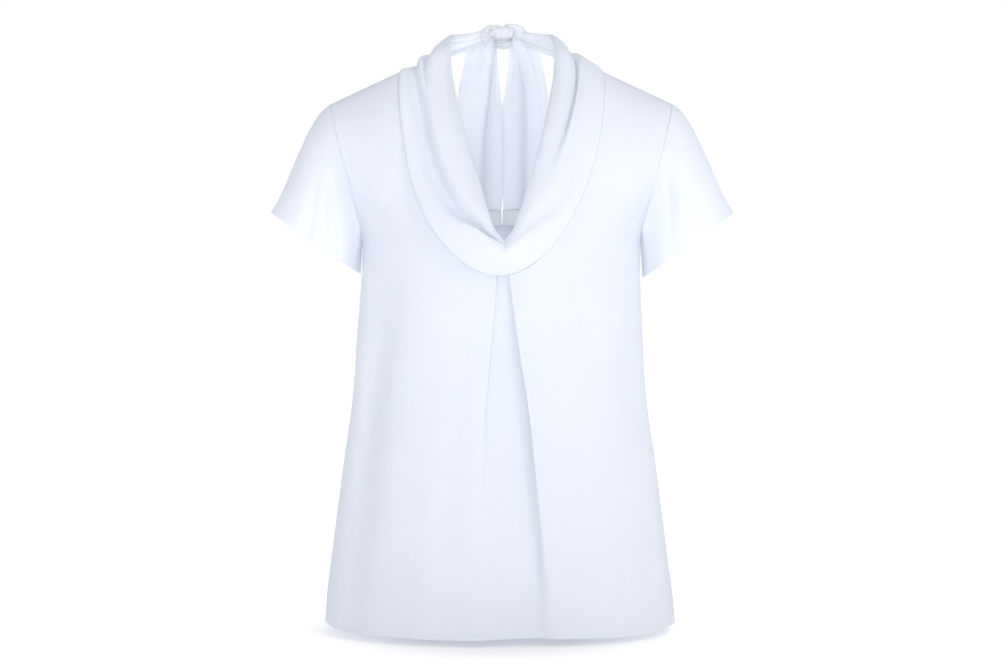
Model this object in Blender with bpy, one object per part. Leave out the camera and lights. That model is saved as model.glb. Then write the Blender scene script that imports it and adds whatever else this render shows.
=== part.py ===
"""Cowl neck blouse with a tie back, in pale blue crepe, as it stands when it is worn.

Frame: metres, +Z up, the front faces -Y, and the wearer's left is +X. The origin is midway between the
two shoulder seams' neck ends, where the wearer's shoulders carry the blouse.

Each piece of cloth is first a sheet, its middle surface, given by a formula of two parameters. A Solidify
modifier then gives it the cloth's wall. Lengths in the tables are in millimetres.
"""

import math

import bmesh
import bpy
import numpy as np

MM = 0.001

# Driving dimensions, in millimetres
WALL = 1.2  # thickness of the cloth walls
SEAM_GAP = 0.3  # between the walls of two pieces that are sewn together
CLEAR = WALL + SEAM_GAP + 0.2  # between the middles of two walls that lie on each other
LOOSE = 1.3  # a free edge lies this many times CLEAR from what is under it

HEM_DEPTH = 619.0  # front and back hem below the shoulder seams' neck ends
HEM_SIDE_RISE = 5.0  # the hem is this much higher at the side seams
HEM_LEVEL = 0.72  # the hem is level this far out, as a share of its half width
ARMPIT_DEPTH = 194.0
RING_POWER = 2.2  # of the body's rings, which are superellipses

NECK_HALF_WIDTH = 113.0  # of the collar's seam, at the shoulders
NECK_DEPTH = 224.5  # of the collar's seam, at the centre front
NECK_STRAIGHT = 15.0  # the seam runs straight down this far, and is an arc below
NECK_POWER = 1.8  # of that superelliptic arc

BACK_NECK_DEPTH = 152.0
BACK_NECK_STRAIGHT = 8.0
BACK_NECK_POWER = 2.3
SLIT_DEPTH = 18.0  # at the centre back, and also how deep the facing is
SLIT_HALF_WIDTH = 1.4
FACING_END = 0.96  # the facing stops at this share of the neckline, short of the shoulder seam

# Rings of the body: the depth of each, its half width, how far it leans to the wearer's left, and how far
# its front and back stand out
BODY = {
    "depth": (194, 223, 255, 300, 367, 434, 480, 540, 591, 619),
    "half_width": (154.5, 155, 156.5, 159.5, 164.5, 174, 180, 187.5, 193.5, 195.5),
    "lean": (0, -0.5, -1.2, -2, -2.2, -2.2, -2.2, -2.2, -1.8, -1.6),
    "front": (118, 120, 119, 115, 113, 115, 118, 124, 129, 131),
    "back": (104, 102, 99, 96, 96, 100, 104, 110, 116, 118),
}

# Upper front, from the neckline's foot (0) to the shoulder seam (1). Each row runs from the neckline to
# the armhole. centre_y is where its arc would cross the centre, and wrap how fast it turns to the side.
UPPER_FRONT = {
    "row": (0, 0.14, 0.2, 0.3, 0.5, 0.7, 0.85, 0.93, 1),
    "arm_x": (155, 154.5, 155, 159.5, 169, 178, 184.5, 187.5, 190),
    "arm_y": (0, 0, -14, -30, -44, -44, -32, -18, 6),
    "arm_depth": (224.5, 194, 181, 160, 120, 86, 60, 48, 36),
    "centre_y": (-120, -117.5, -115.5, -111, -99, -80, -56, -35, 6),
    "wrap": (0.45, 0.47, 0.55, 0.62, 0.7, 0.75, 0.8, 0.8, 0.8),
}

# Upper back, the same way, from the foot of the centre back slit (0) to the shoulder seam (1)
UPPER_BACK = {
    "row": (0, 0.12, 0.2, 0.3, 0.5, 0.7, 0.85, 0.93, 1),
    "arm_x": (154.5, 156, 158.5, 162, 169, 177, 183.5, 187, 190),
    "arm_y": (0, 18, 30, 40, 52, 54, 42, 28, 6.6),
    "arm_depth": (194, 178, 165, 150, 120, 88, 61, 48, 36),
    "centre_y": (103.5, 103, 102.5, 101.5, 96, 84, 65, 44, 6.6),
    "wrap": (0.46, 0.5, 0.56, 0.62, 0.7, 0.75, 0.8, 0.8, 0.8),
}

# Inverted pleat at the centre front. The lips are the edges that show, at their x. recess is how far the
# underlay lies behind them, and each fold goes under its lip by turn_under, or opens out where that is
# negative, so the pleat is sharp under the collar and a soft trough at the hem.
PLEAT = {
    "depth": (224.5, 256, 291, 325, 360, 394, 428, 480, 540, 585, 619),
    "right_lip": (-4, -6, -8, -12, -15.5, -19, -21, -22.5, -24, -26, -28),
    "left_lip": (7.5, 11, 15.5, 20.5, 26, 30, 34, 39, 45, 49, 52),
    "recess": (4.4, 5.5, 6.5, 7.5, 8.5, 9.5, 10.5, 11.5, 12.5, 13.5, 14),
    "right_turn_under": (7, 2, -2, -6, -9, -12, -15, -19, -23, -27, -30),
    "left_turn_under": (7, 7.5, 7, 6, 4.5, 2.5, 0, -6, -15, -22, -27),
}
FOLD_RADIUS = 1.1  # of a pressed fold
FOLD_STEPS = 4  # points round it
SOFT_ROUNDING = 0.25  # and this much more for each millimetre that the pleat's fold opens out

# Collar, from the centre front (0) over the shoulder seam (1) to the knot (2). edge is its free edge,
# which is the V of the neck and leans to the wearer's left. The cloth arches this far off the straight
# line across, and at its free edge it turns back inside for the depth of its tuck.
COLLAR = {
    "place": (0, 0.07, 0.15, 0.3, 0.5, 0.7, 0.85, 1, 1.15, 1.3, 1.5, 1.75, 2),
    "edge_x": (0, 8, 15, 26.5, 42, 51, 57, 59.5, 59, 56, 47, 33, 21),
    "edge_y": (-126, -119, -110, -91, -64, -39, -16, 6, 24, 38, 52, 64, 69),
    "edge_z": (-193, -180, -161, -124, -74, -37, -4, 30, 41.5, 45, 47, 50, 54),
    "lean": (2.8, 2.9, 3, 3.2, 2.6, 2, 1.5, 1, 0.5, 0, 0.4, 0.8, 1),
    "underlap": (4, 4, 4, 3.5, 2.5, 1, -0.6, -0.6, 0, 0, 0, 0, 0),
    "arch": (9, 9.5, 10, 9.5, 8.5, 7, 4.5, 3, 3, 3, 2.5, 2, 2),
    "tuck": (9, 10, 12, 13, 12, 11, 10, 9, 8, 7, 6, 5, 5),
}
# The collar's folds are troughs between its bands: each lies at a share of the collar's width, from its
# seam to its free edge, and is this deep
RIGHT_FOLD = {
    "place": (0, 0.07, 0.15, 0.3, 0.5, 0.7, 0.85, 1, 1.3, 2),
    "share": (0.92, 0.74, 0.57, 0.44, 0.41, 0.39, 0.35, 0.28, 0.42, 0.5),
    "depth": (0, 2.5, 5.5, 7, 5.5, 4.5, 3.5, 2, 1.5, 1),
}
LEFT_LOWER_FOLD = {
    "place": (0, 0.07, 0.15, 0.3, 0.42, 0.6, 2),
    "share": (0.92, 0.8, 0.67, 0.38, 0.3, 0.25, 0.25),
    "depth": (0, 2.5, 4.5, 4.5, 2, 0, 0),
}
LEFT_UPPER_FOLD = {
    "place": (0, 0.25, 0.35, 0.5, 0.7, 0.85, 1, 1.3, 2),
    "share": (0.9, 0.9, 0.84, 0.69, 0.58, 0.53, 0.54, 0.45, 0.5),
    "depth": (0, 0, 2, 4, 4.5, 4, 3, 1.5, 1),
}
FOLD_WIDTH = 0.13  # half the width of a trough, as a share of the collar's width
ARCH_POWER = 0.6  # of the sine that the collar arches by, so its edges turn down steeply
# The turned part inside the free edge, as points (along, inward): along the collar's slant, in shares of
# the tuck towards the seam, and inward in walls that lie on each other
TUCK = {
    "along": (0, 0, 0.45, 1),
    "past_edge": (0.6, 0.1, 0, 0),
    "inward": (0.5, 1.2, 1.5, 1.5),
}
FLAT_AT_SEAM = 0.1  # no fold reaches closer to the seam than this share of the width,
FLAT_AT_EDGE = 0.08  # or closer to the free edge than this
COLLAR_END = 1.32  # the collar's place where the tie's band is sewn on
BAND_START = 1.326
BAND_END = 1.965  # the band's place where it goes into the knot
# The collar's lower edge behind the shoulder seams, where it hangs free
NAPE_EDGE = {
    "place": (1, 1.08, 1.18, 1.32, 1.5, 1.75, 2),
    "x": (113, 106, 97, 82, 64, 42, 21),
    "y": (5.6, 19, 32, 46, 58, 69, 74),
    "z": (1.7, 3, 6, 13, 20, 29, 38),
    "lean": (0, 0, 0, 0, 0.4, 0.8, 1),
}

# Sleeve: its hem is an ellipse in a slanting plane
SLEEVE = {
    "side": (-1, 1),  # the wearer's right and left
    "tip_x": (257.5, 259.5),  # the hem's outermost point
    "tip_z": (-157, -158),
    "under_x": (158.8, 158.8),  # the hem's innermost point
    "under_z": (-225.5, -230),
}
SLEEVE_HALF_DEPTH = 62.0
SLEEVE_CENTRE_Y = 5.0
SLEEVE_CAP = 31.0  # how far the sleeve follows the shoulder before it turns down
SLEEVE_ARRIVES = 0.28  # the share of its length over which it comes square to its hem
SLEEVE_HANGS = 0.3  # the same for its lines under the arm, at both their ends
UNDERARM_DEPTH = 120.0  # below this the sleeve hangs beside the body

# Knot and the two hanging ends of the tie
KNOT_CENTRE = (1.0, 75.0, 48.0)
KNOT_HALF_SIZE = (24.0, 12.0, 13.0)
KNOT_POWER = 2.6  # of its outline, seen from the front
KNOT_WAIST = 0.16  # how much the wrap pulls its middle in
KNOT_WAIST_WIDTH = 0.34  # over this share of its half length
TAIL = {
    "depth": (-36, -20, -5, 15, 37, 80, 120, 152, 200, 290),
    "inner_x": (7, 6, 4.5, 2.4, 1, 0.3, 0.3, 1.2, 2, 2.6),
    "outer_x": (39, 43, 46.5, 51, 53, 54.5, 55, 55.5, 56, 57),
    "crease_x": (11, 12, 13.5, 16.5, 19.5, 23.5, 25, 25.5, 26, 27),
    "y": (78, 81.5, 86.5, 91, 95, 101, 105.5, 109, 107.5, 103.5),
}
TAIL_LEAN = 1.0  # the two ends hang this far to the wearer's left of the centre
TAIL_FOLD = 2.6  # the outer half of each end lies this far outside the inner half,
TAIL_SPREAD = 1.0  # and its outer edge this much further
TAIL_UNDER = 6.0  # the fold goes this far under the inner half

# How finely the sheets are divided. The crowding powers put columns closer together at the side seams
# and at the centre front of the collar.
ROWS_BELOW = 12
COLUMNS = 9
LOWER_CROWDING = 1.05
UPPER_CROWDING = 1.15
COLLAR_CROWDING = 1.15
FRONT_ROWS = (0, 0.05, 0.1, 0.14, 0.2, 0.3, 0.4, 0.5, 0.6, 0.7, 0.8, 0.87, 0.94, 1)
BACK_ROWS = (0, 0.07, 0.14, 0.2, 0.3, 0.4, 0.5, 0.6, 0.7, 0.8, 0.9, 1)
ARMPIT_ROW = 3  # of the front's rows
FACING_ROWS = 16
FACING_STEPS = 4
SLEEVE_ROWS = 9
BAND_ROWS = 8
BAND_COLUMNS = 9
KNOT_RINGS = 10
KNOT_AROUND = 14
TAIL_ROWS = 12
COLLAR_PLACES = np.linspace(-1, 1, 31)
COLLAR_SHARES = (0, 0.08, 0.18, 0.28, 0.38, 0.48, 0.58, 0.68, 0.79, 0.9, 1)

CREPE = (0.80, 0.85, 0.94, 1.0)


# --- curves through tables -----------------------------------------------------------------------


def smooth(table, name, at):
    """The named column at a value of the table's first column, by monotone cubic interpolation."""
    keys = list(table)
    x = np.array(table[keys[0]], float)
    y = np.array(table[name], float)
    step, slope = np.diff(x), np.diff(y) / np.diff(x)
    both = slope[:-1] * slope[1:]
    weight = step[:-1] + step[1:]
    inner = np.zeros(len(both))
    same = both > 0
    inner[same] = (
        3 * weight[same] * both[same]
        / ((weight + step[1:])[same] * slope[1:][same] + (weight + step[:-1])[same] * slope[:-1][same])
    )
    tangent = np.concatenate([slope[:1], inner, slope[-1:]])
    at = np.clip(np.asarray(at, float), x[0], x[-1])
    i = np.clip(np.searchsorted(x, at) - 1, 0, len(step) - 1)
    t = (at - x[i]) / step[i]
    return (
        y[i] * (1 + 2 * t) * (1 - t) ** 2
        + tangent[i] * step[i] * t * (1 - t) ** 2
        + y[i + 1] * t**2 * (3 - 2 * t)
        - tangent[i + 1] * step[i] * t**2 * (1 - t)
    )


def arc_shares(points, shares):
    """Points of a polyline at the given shares of its length."""
    points = np.asarray(points, float)
    along = np.concatenate([[0], np.cumsum(np.linalg.norm(np.diff(points, axis=0), axis=1))])
    at = np.asarray(shares) * along[-1]
    return np.stack([np.interp(at, along, points[:, c]) for c in range(points.shape[1])], axis=-1)


def neckline_arc(half_width, depth, straight, power, shares):
    """Half a scooped neckline in the X-Z plane, from its foot to the shoulder: a superelliptic arc, then
    a straight rise."""
    angle = np.linspace(0, math.pi / 2, 200)
    arc_x = half_width * np.sin(angle) ** (2 / power)
    arc_z = -straight - (depth - straight) * np.abs(np.cos(angle)) ** (2 / power)
    line = np.stack([np.append(arc_x, half_width), np.append(arc_z, 0.0)], axis=1)
    return arc_shares(line, shares)


# --- the body's surface --------------------------------------------------------------------------


def ring_y(x, depth, side):
    """Y of the body at an x and a depth below the armpits. side is -1 in front and 1 behind."""
    half_width = smooth(BODY, "half_width", depth)
    stands_out = smooth(BODY, "front" if side < 0 else "back", depth)
    share = np.abs(x - smooth(BODY, "lean", depth)) / half_width
    inside = np.clip(1 - share**RING_POWER, 0, 1)
    return side * stands_out * inside ** (1 / RING_POWER)


def upper_row(table, neck, share, count):
    """One row of an upper panel for the wearer's left, from a neckline point (x, z) to the armhole."""
    arm = [float(smooth(table, name, share)) for name in ("arm_x", "arm_y", "arm_depth", "centre_y", "wrap")]
    arm_x, arm_y, arm_depth, centre_y, wrap = arm
    x = neck[0] + (arm_x - neck[0]) * np.sin(np.linspace(0, math.pi / 2, count)) ** UPPER_CROWDING
    z = neck[1] + (-arm_depth - neck[1]) * (x - neck[0]) / (arm_x - neck[0])
    y = arm_y + (centre_y - arm_y) * np.clip(1 - (x / arm_x) ** RING_POWER, 0, 1) ** wrap
    return np.stack([x, y, z], axis=1)


def upper_panel(table, neckline, rows, count):
    """Rows of an upper panel, one for each point of its neckline."""
    return np.array([upper_row(table, neck, share, count) for neck, share in zip(neckline, rows)])


def front_neckline(rows):
    """The front panel's neckline for the wearer's left, which the collar is sewn to."""
    return neckline_arc(NECK_HALF_WIDTH, NECK_DEPTH, NECK_STRAIGHT, NECK_POWER, rows)


def unit(vectors):
    """The vectors at length 1."""
    return vectors / np.linalg.norm(vectors, axis=-1, keepdims=True)


def normals(grid):
    """The unit normal at each point of a grid of rows and columns."""
    return unit(np.cross(np.gradient(grid, axis=0), np.gradient(grid, axis=1)))


def collar_seam(place):
    """A point of the collar's lower edge on the wearer's left, at a share of the front's neckline. It is
    made from the front's own edge, moved out by a little more than the cloth's thickness and down over
    the front by the collar's underlap."""
    panel = front_upper_panel()
    outward = normals(panel)[:, 0]
    outward *= -np.sign(outward[:, 1:2])
    away = unit(np.cross(outward, np.gradient(panel[:, 0], axis=0)))
    away *= np.sign(away[-1, 0])
    underlap = smooth(COLLAR, "underlap", FRONT_ROWS)[:, None]
    line = panel[:, 0] + LOOSE * CLEAR * outward + underlap * away
    return np.array([np.interp(place, FRONT_ROWS, line[:, c]) for c in range(3)])


# --- meshes --------------------------------------------------------------------------------------


def grid_faces(rows, columns, wrap=False):
    """Quads of a grid whose points are numbered row by row."""
    faces = []
    for r in range(rows - 1):
        for c in range(columns if wrap else columns - 1):
            this, beside = r * columns + c, r * columns + (c + 1) % columns
            faces.append((this, beside, beside + columns, this + columns))
    return faces


def crepe_material(name):
    """Matt crepe in the blouse's pale blue."""
    material = bpy.data.materials.new(name)
    material.use_nodes = True
    shader = material.node_tree.nodes["Principled BSDF"]
    shader.inputs["Base Color"].default_value = CREPE
    shader.inputs["Roughness"].default_value = 0.7
    shader.inputs["Metallic"].default_value = 0.0
    material.diffuse_color = CREPE
    return material


def cloth(name, patches, wrap=False, wall=WALL):
    """One piece of cloth. Its patches are grids of points, rows by columns, which share their borders."""
    points, faces = [], []
    for patch in patches:
        rows, columns = patch.shape[:2]
        faces += [tuple(len(points) + i for i in face) for face in grid_faces(rows, columns, wrap)]
        points += [tuple(p) for p in patch.reshape(-1, 3) * MM]
    mesh = bpy.data.meshes.new(name)
    mesh.from_pydata(points, [], faces)
    build = bmesh.new()
    build.from_mesh(mesh)
    bmesh.ops.remove_doubles(build, verts=build.verts, dist=0.02 * MM)
    bmesh.ops.recalc_face_normals(build, faces=build.faces)
    build.to_mesh(mesh)
    build.free()
    mesh.shade_smooth()
    mesh.materials.append(crepe_material(name))
    piece = bpy.data.objects.new(name, mesh)
    bpy.context.scene.collection.objects.link(piece)
    solidify = piece.modifiers.new("wall", "SOLIDIFY")
    solidify.thickness = wall * MM
    solidify.offset = 0
    solidify.use_even_offset = True
    return piece


def mirrored(points):
    """The same points on the wearer's other side."""
    return points * np.array([-1, 1, 1])


# --- front panel ---------------------------------------------------------------------------------


def rounded(corners, radius, steps):
    """A polyline with each inner corner turned by an arc, as (along, inward) pairs."""
    line = [corners[0]]
    for before, corner, after in zip(corners, corners[1:], corners[2:]):
        before, corner, after = (np.array(p, float) for p in (before, corner, after))
        to, away = corner - before, after - corner
        to_length, away_length = np.linalg.norm(to), np.linalg.norm(away)
        to, away = to / to_length, away / away_length
        turn = math.acos(np.clip(to @ away, -1, 1))
        reach = min(radius * math.tan(turn / 2), 0.45 * to_length, 0.45 * away_length)
        start, end = corner - to * reach, corner + away * reach
        handle = 4 / 3 * math.tan(turn / 4) / math.tan(turn / 2) * reach
        for t in np.linspace(0, 1, steps):
            line.append(
                start * (1 - t) ** 3
                + 3 * (start + to * handle) * t * (1 - t) ** 2
                + 3 * (end - away * handle) * t**2 * (1 - t)
                + end * t**3
            )
    line.append(np.array(corners[-1], float))
    return np.array(line)


def pleat_section(depth):
    """The pleat across the front at a depth, as points of (x, how far inward), lip to lip."""
    names = ("right_lip", "left_lip", "right_turn_under", "left_turn_under", "recess")
    right, left, right_under, left_under, recess = (float(smooth(PLEAT, name, depth)) for name in names)
    opened = max(-right_under, -left_under, 0)
    radius = FOLD_RADIUS + SOFT_ROUNDING * opened
    shoulder = 3.2 * radius
    corners = [
        (right - shoulder, 0),
        (right, 0),
        (right - right_under, recess),
        (left + left_under, recess),
        (left, 0),
        (left + shoulder, 0),
    ]
    return rounded(corners, radius, FOLD_STEPS)


def hem_depth(x):
    """The hem is level across the front and back, and rises a little to the side seams."""
    half_width = BODY["half_width"][-1]
    rise = np.clip((np.abs(x) / half_width - HEM_LEVEL) / (1 - HEM_LEVEL), 0, 1) ** 2
    return HEM_DEPTH - HEM_SIDE_RISE * rise


def lower_row(share, top, side, columns, section=None):
    """One row of a lower panel, from side seam to side seam, share 0 at the hem and 1 at its top."""
    depth = HEM_DEPTH + (top - HEM_DEPTH) * share
    half_width = float(smooth(BODY, "half_width", depth))
    lean = float(smooth(BODY, "lean", depth))
    left_side, right_side = half_width + lean, half_width - lean
    across = np.sin(np.linspace(0, math.pi / 2, columns)) ** LOWER_CROWDING
    if section is None:
        x = np.concatenate([-right_side * across[::-1], left_side * across[1:]])
        inward = np.zeros(len(x))
    else:
        right, left = -section[0][0], section[-1][0]
        right_x = -(right + (right_side - right) * across)[::-1]
        left_x = left + (left_side - left) * across
        x = np.concatenate([right_x, section[1:-1, 0], left_x])
        inward = np.concatenate([np.zeros(columns), section[1:-1, 1], np.zeros(columns)])
    depths = depth + (hem_depth(x) - HEM_DEPTH) * (1 - share) ** 3
    y = ring_y(x, depth, side) - side * inward
    y[[0, -1]] = side * SEAM_GAP / 2
    return np.stack([x, y, -depths], axis=1)


def front():
    """One piece, with its inverted pleat at the centre, from hem to shoulder seams."""
    top = NECK_DEPTH
    shares = np.linspace(0, 1, ROWS_BELOW)
    depths = HEM_DEPTH + (top - HEM_DEPTH) * shares
    lower = np.array(
        [lower_row(share, top, -1, COLUMNS, pleat_section(depth)) for share, depth in zip(shares, depths)]
    )
    patches = [lower]
    for side, border in ((1, lower[-1][-COLUMNS:]), (-1, lower[-1][:COLUMNS][::-1])):
        panel = front_upper_panel()
        panel = panel if side > 0 else mirrored(panel)
        offset = border[0][0] - panel[0][0][0]
        fade = (1 - np.array(FRONT_ROWS)) ** 6
        panel[:, :, 0] += offset * fade[:, None] * (1 - np.linspace(0, 1, COLUMNS))
        panel[0] = border
        patches.append(panel)
    return cloth("front", patches)


def front_upper_panel():
    """The front above the neckline's foot, for the wearer's left."""
    panel = upper_panel(UPPER_FRONT, front_neckline(FRONT_ROWS), FRONT_ROWS, COLUMNS)
    panel[: ARMPIT_ROW + 1, -1, 1] = -SEAM_GAP / 2
    panel[-1, :, 1] -= SEAM_GAP / 2
    return panel


# --- back panel and the facing of its neckline ---------------------------------------------------


def back_neckline(rows):
    """The back panel's edge for the wearer's left: up the slit, then round the scooped neckline."""
    rows = np.asarray(rows)
    around = (rows[1:] - rows[1]) / (1 - rows[1])
    scoop = neckline_arc(NECK_HALF_WIDTH, BACK_NECK_DEPTH, BACK_NECK_STRAIGHT, BACK_NECK_POWER, around)
    scoop[:, 0] = SLIT_HALF_WIDTH + scoop[:, 0] * (1 - SLIT_HALF_WIDTH / NECK_HALF_WIDTH)
    return np.concatenate([[(0.0, -BACK_NECK_DEPTH - SLIT_DEPTH)], scoop])


def back_upper_panel():
    """The back above the slit's foot, for the wearer's left."""
    panel = upper_panel(UPPER_BACK, back_neckline(BACK_ROWS), BACK_ROWS, COLUMNS)
    panel[-1, :, 1] += SEAM_GAP / 2
    panel[0, -1, 1] += SEAM_GAP / 2
    return panel


def back():
    """One piece, with a low scooped neckline and a short slit at its centre."""
    upper = back_upper_panel()
    shares = np.linspace(0, 1, ROWS_BELOW)[:-1]
    lower = [lower_row(share, BACK_NECK_DEPTH + SLIT_DEPTH, 1, COLUMNS) for share in shares]
    seam = np.concatenate([mirrored(upper[0])[::-1], upper[0][1:]])
    return cloth("back", [np.array([*lower, seam]), upper, mirrored(upper)])


def surface_y(panel, x, z):
    """Y of a panel's grid at points of the back view."""
    found = []
    for at_x, at_z in zip(x, z):
        across = [np.interp(at_x, row[:, 0], row[:, 1]) for row in panel]
        heights = [np.interp(at_x, row[:, 0], row[:, 2]) for row in panel]
        found.append(np.interp(at_z, heights, across))
    return np.array(found)


def back_facing(name, side):
    """Half the facing inside the back neckline and beside the slit, made from the back's points, moved
    inwards. Its rows follow the neckline and its columns are steps away from it."""
    panel = back_upper_panel()
    places = np.linspace(0, FACING_END, FACING_ROWS)
    line = neckline_arc(NECK_HALF_WIDTH, BACK_NECK_DEPTH, BACK_NECK_STRAIGHT, BACK_NECK_POWER, places)
    away = np.stack([-np.gradient(line[:, 1]), np.gradient(line[:, 0])], axis=1)
    away = unit(away) * np.array([-1, -1])
    away[0] = (0, -1)
    columns = []
    for step in np.linspace(0, SLIT_DEPTH, FACING_STEPS):
        x, z = (line + step * away).T
        x = x + (SLIT_HALF_WIDTH * (1 - step / SLIT_DEPTH) + SEAM_GAP) * (1 - places)
        columns.append(np.stack([x, surface_y(panel, x, z), z], axis=1))
    grid = np.array(columns).transpose(1, 0, 2)
    inward = normals(grid)
    inward *= -np.sign(inward[:, :, 1:2])
    grid += CLEAR * inward
    return cloth(name, [grid if side > 0 else mirrored(grid)])


# --- sleeves -------------------------------------------------------------------------------------


def armhole():
    """The armhole's points for the wearer's left from the armpit up the front, over the shoulder and down
    the back, and each point's outward direction along the cloth."""
    front_rows = front_upper_panel()[ARMPIT_ROW:]
    back_rows = back_upper_panel()[::-1]
    front_rows[0, -1, 1] = 0
    points = np.concatenate([front_rows[:-1, -1], back_rows[:-1, -1]])
    before = np.concatenate([front_rows[:-1, -2], back_rows[:-1, -2]])
    points[len(front_rows) - 1] = (front_rows[-1, -1] + back_rows[0, -1]) / 2
    out = points - before
    return points, out / np.linalg.norm(out, axis=1, keepdims=True)


def ease(value):
    """0 up to 0, 1 from 1, and a smooth rise between."""
    value = np.clip(value, 0, 1)
    return value * value * (3 - 2 * value)


def sleeve(name, side):
    """One tube from the armhole to the hem. Each lengthwise line is a cubic curve that leaves the armhole
    along the cloth of the body and ends square to the hem."""
    points, out = armhole()
    count = len(points)
    top = int(np.argmax(points[:, 2]))
    steps = np.linalg.norm(np.diff(np.concatenate([points, points[:1]]), axis=0), axis=1)
    along = np.concatenate([[0], np.cumsum(steps)])
    angle = np.where(
        np.arange(count) <= top,
        math.pi * (1 - along[:count] / along[top]),
        -math.pi * (along[:count] - along[top]) / (along[count] - along[top]),
    )
    tip, under = (np.array([smooth(SLEEVE, end + "_" + c, side) for c in "xz"]) for end in ("tip", "under"))
    middle, half = (tip + under) / 2, (tip - under) / 2
    hem = np.stack(
        [
            middle[0] + half[0] * np.cos(angle),
            SLEEVE_CENTRE_Y - SLEEVE_HALF_DEPTH * np.sin(angle),
            middle[1] + half[1] * np.cos(angle),
        ],
        axis=1,
    )
    square = unit(np.array([-half[1], 0, half[0]]))
    square *= -np.sign(square[2])
    low = ease((-points[:, 2] - UNDERARM_DEPTH) / (ARMPIT_DEPTH - UNDERARM_DEPTH))[:, None]
    beside = np.array([1.0, 0, 0])
    start = points + (1 - low) * out * 1.5 * SEAM_GAP + low * beside * (WALL + 1.2 * SEAM_GAP)
    down = np.array([0.1, 0, -1])
    reach = np.linalg.norm(hem - start, axis=1, keepdims=True)
    leave = (1 - low) * out * np.minimum(SLEEVE_CAP, 0.4 * reach) + low * down * SLEEVE_HANGS * reach
    arrive = ((1 - low) * square + low * down) * SLEEVE_ARRIVES * reach
    rows = []
    for t in np.linspace(0, 1, SLEEVE_ROWS):
        rows.append(
            start * (1 - t) ** 3
            + 3 * (start + leave) * t * (1 - t) ** 2
            + 3 * (hem - arrive) * t**2 * (1 - t)
            + hem * t**3
        )
    tube = np.array(rows)
    return cloth(name, [tube if side > 0 else mirrored(tube)], wrap=True)


# --- cowl collar and the tie ---------------------------------------------------------------------


def collar_edges(place):
    """The lower and the free edge of the collar at a place, which is negative on the wearer's right."""
    side = 1 if place >= 0 else -1
    near = abs(place)
    lower = np.array([float(smooth(NAPE_EDGE, c, near)) for c in "xyz"]) if near > 1 else collar_seam(near)
    free = np.array([float(smooth(COLLAR, "edge_" + c, near)) for c in "xyz"])
    lower[0] = lower[0] * side + float(smooth(NAPE_EDGE, "lean", near))
    free[0] = free[0] * side + float(smooth(COLLAR, "lean", near))
    return lower, free


def collar_section(place, shares, tucked=True):
    """One line across the collar, from its lower edge to its free edge and round its tuck."""
    side = 1 if place >= 0 else -1
    near = abs(place)
    lower, free = collar_edges(place)
    ahead, behind = collar_edges(place + 0.02), collar_edges(place - 0.02)
    along = unit(ahead[0] + ahead[1] - behind[0] - behind[1])
    across = unit(free - lower)
    outward = unit(np.cross(along, across))
    shares = np.asarray(shares)
    rise = float(smooth(COLLAR, "arch", near)) * np.sin(math.pi * shares) ** ARCH_POWER
    ends = np.clip(np.minimum(shares / FLAT_AT_SEAM, (1 - shares) / FLAT_AT_EDGE), 0, 1)
    for fold in (LEFT_LOWER_FOLD, LEFT_UPPER_FOLD) if side > 0 else (RIGHT_FOLD,):
        from_trough = (shares - float(smooth(fold, "share", near))) / FOLD_WIDTH
        rise = rise - ends * float(smooth(fold, "depth", near)) * np.exp(-(from_trough**2))
    points = lower + (free - lower) * shares[:, None] + outward * rise[:, None]
    if not tucked:
        return points
    tuck = float(smooth(COLLAR, "tuck", near))
    turned = [
        free + across * (past * CLEAR - along_tuck * tuck) - outward * inward * CLEAR
        for along_tuck, past, inward in zip(*TUCK.values())
    ]
    return np.concatenate([points, turned])


def cowl_collar():
    """One strip, sewn to the front's neckline and open at the nape, where the tie's bands carry on."""
    places = COLLAR_END * np.sign(COLLAR_PLACES) * np.abs(COLLAR_PLACES) ** COLLAR_CROWDING
    return cloth("cowl_collar", [np.array([collar_section(place, COLLAR_SHARES) for place in places])])


def tie_band(name, side):
    """The band from the collar's end to the knot."""
    places = np.linspace(BAND_START, BAND_END, BAND_ROWS)
    shares = np.linspace(0, 1, BAND_COLUMNS)
    grid = np.array([collar_section(side * place, shares, tucked=False) for place in places])
    return cloth(name, [grid])


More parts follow.
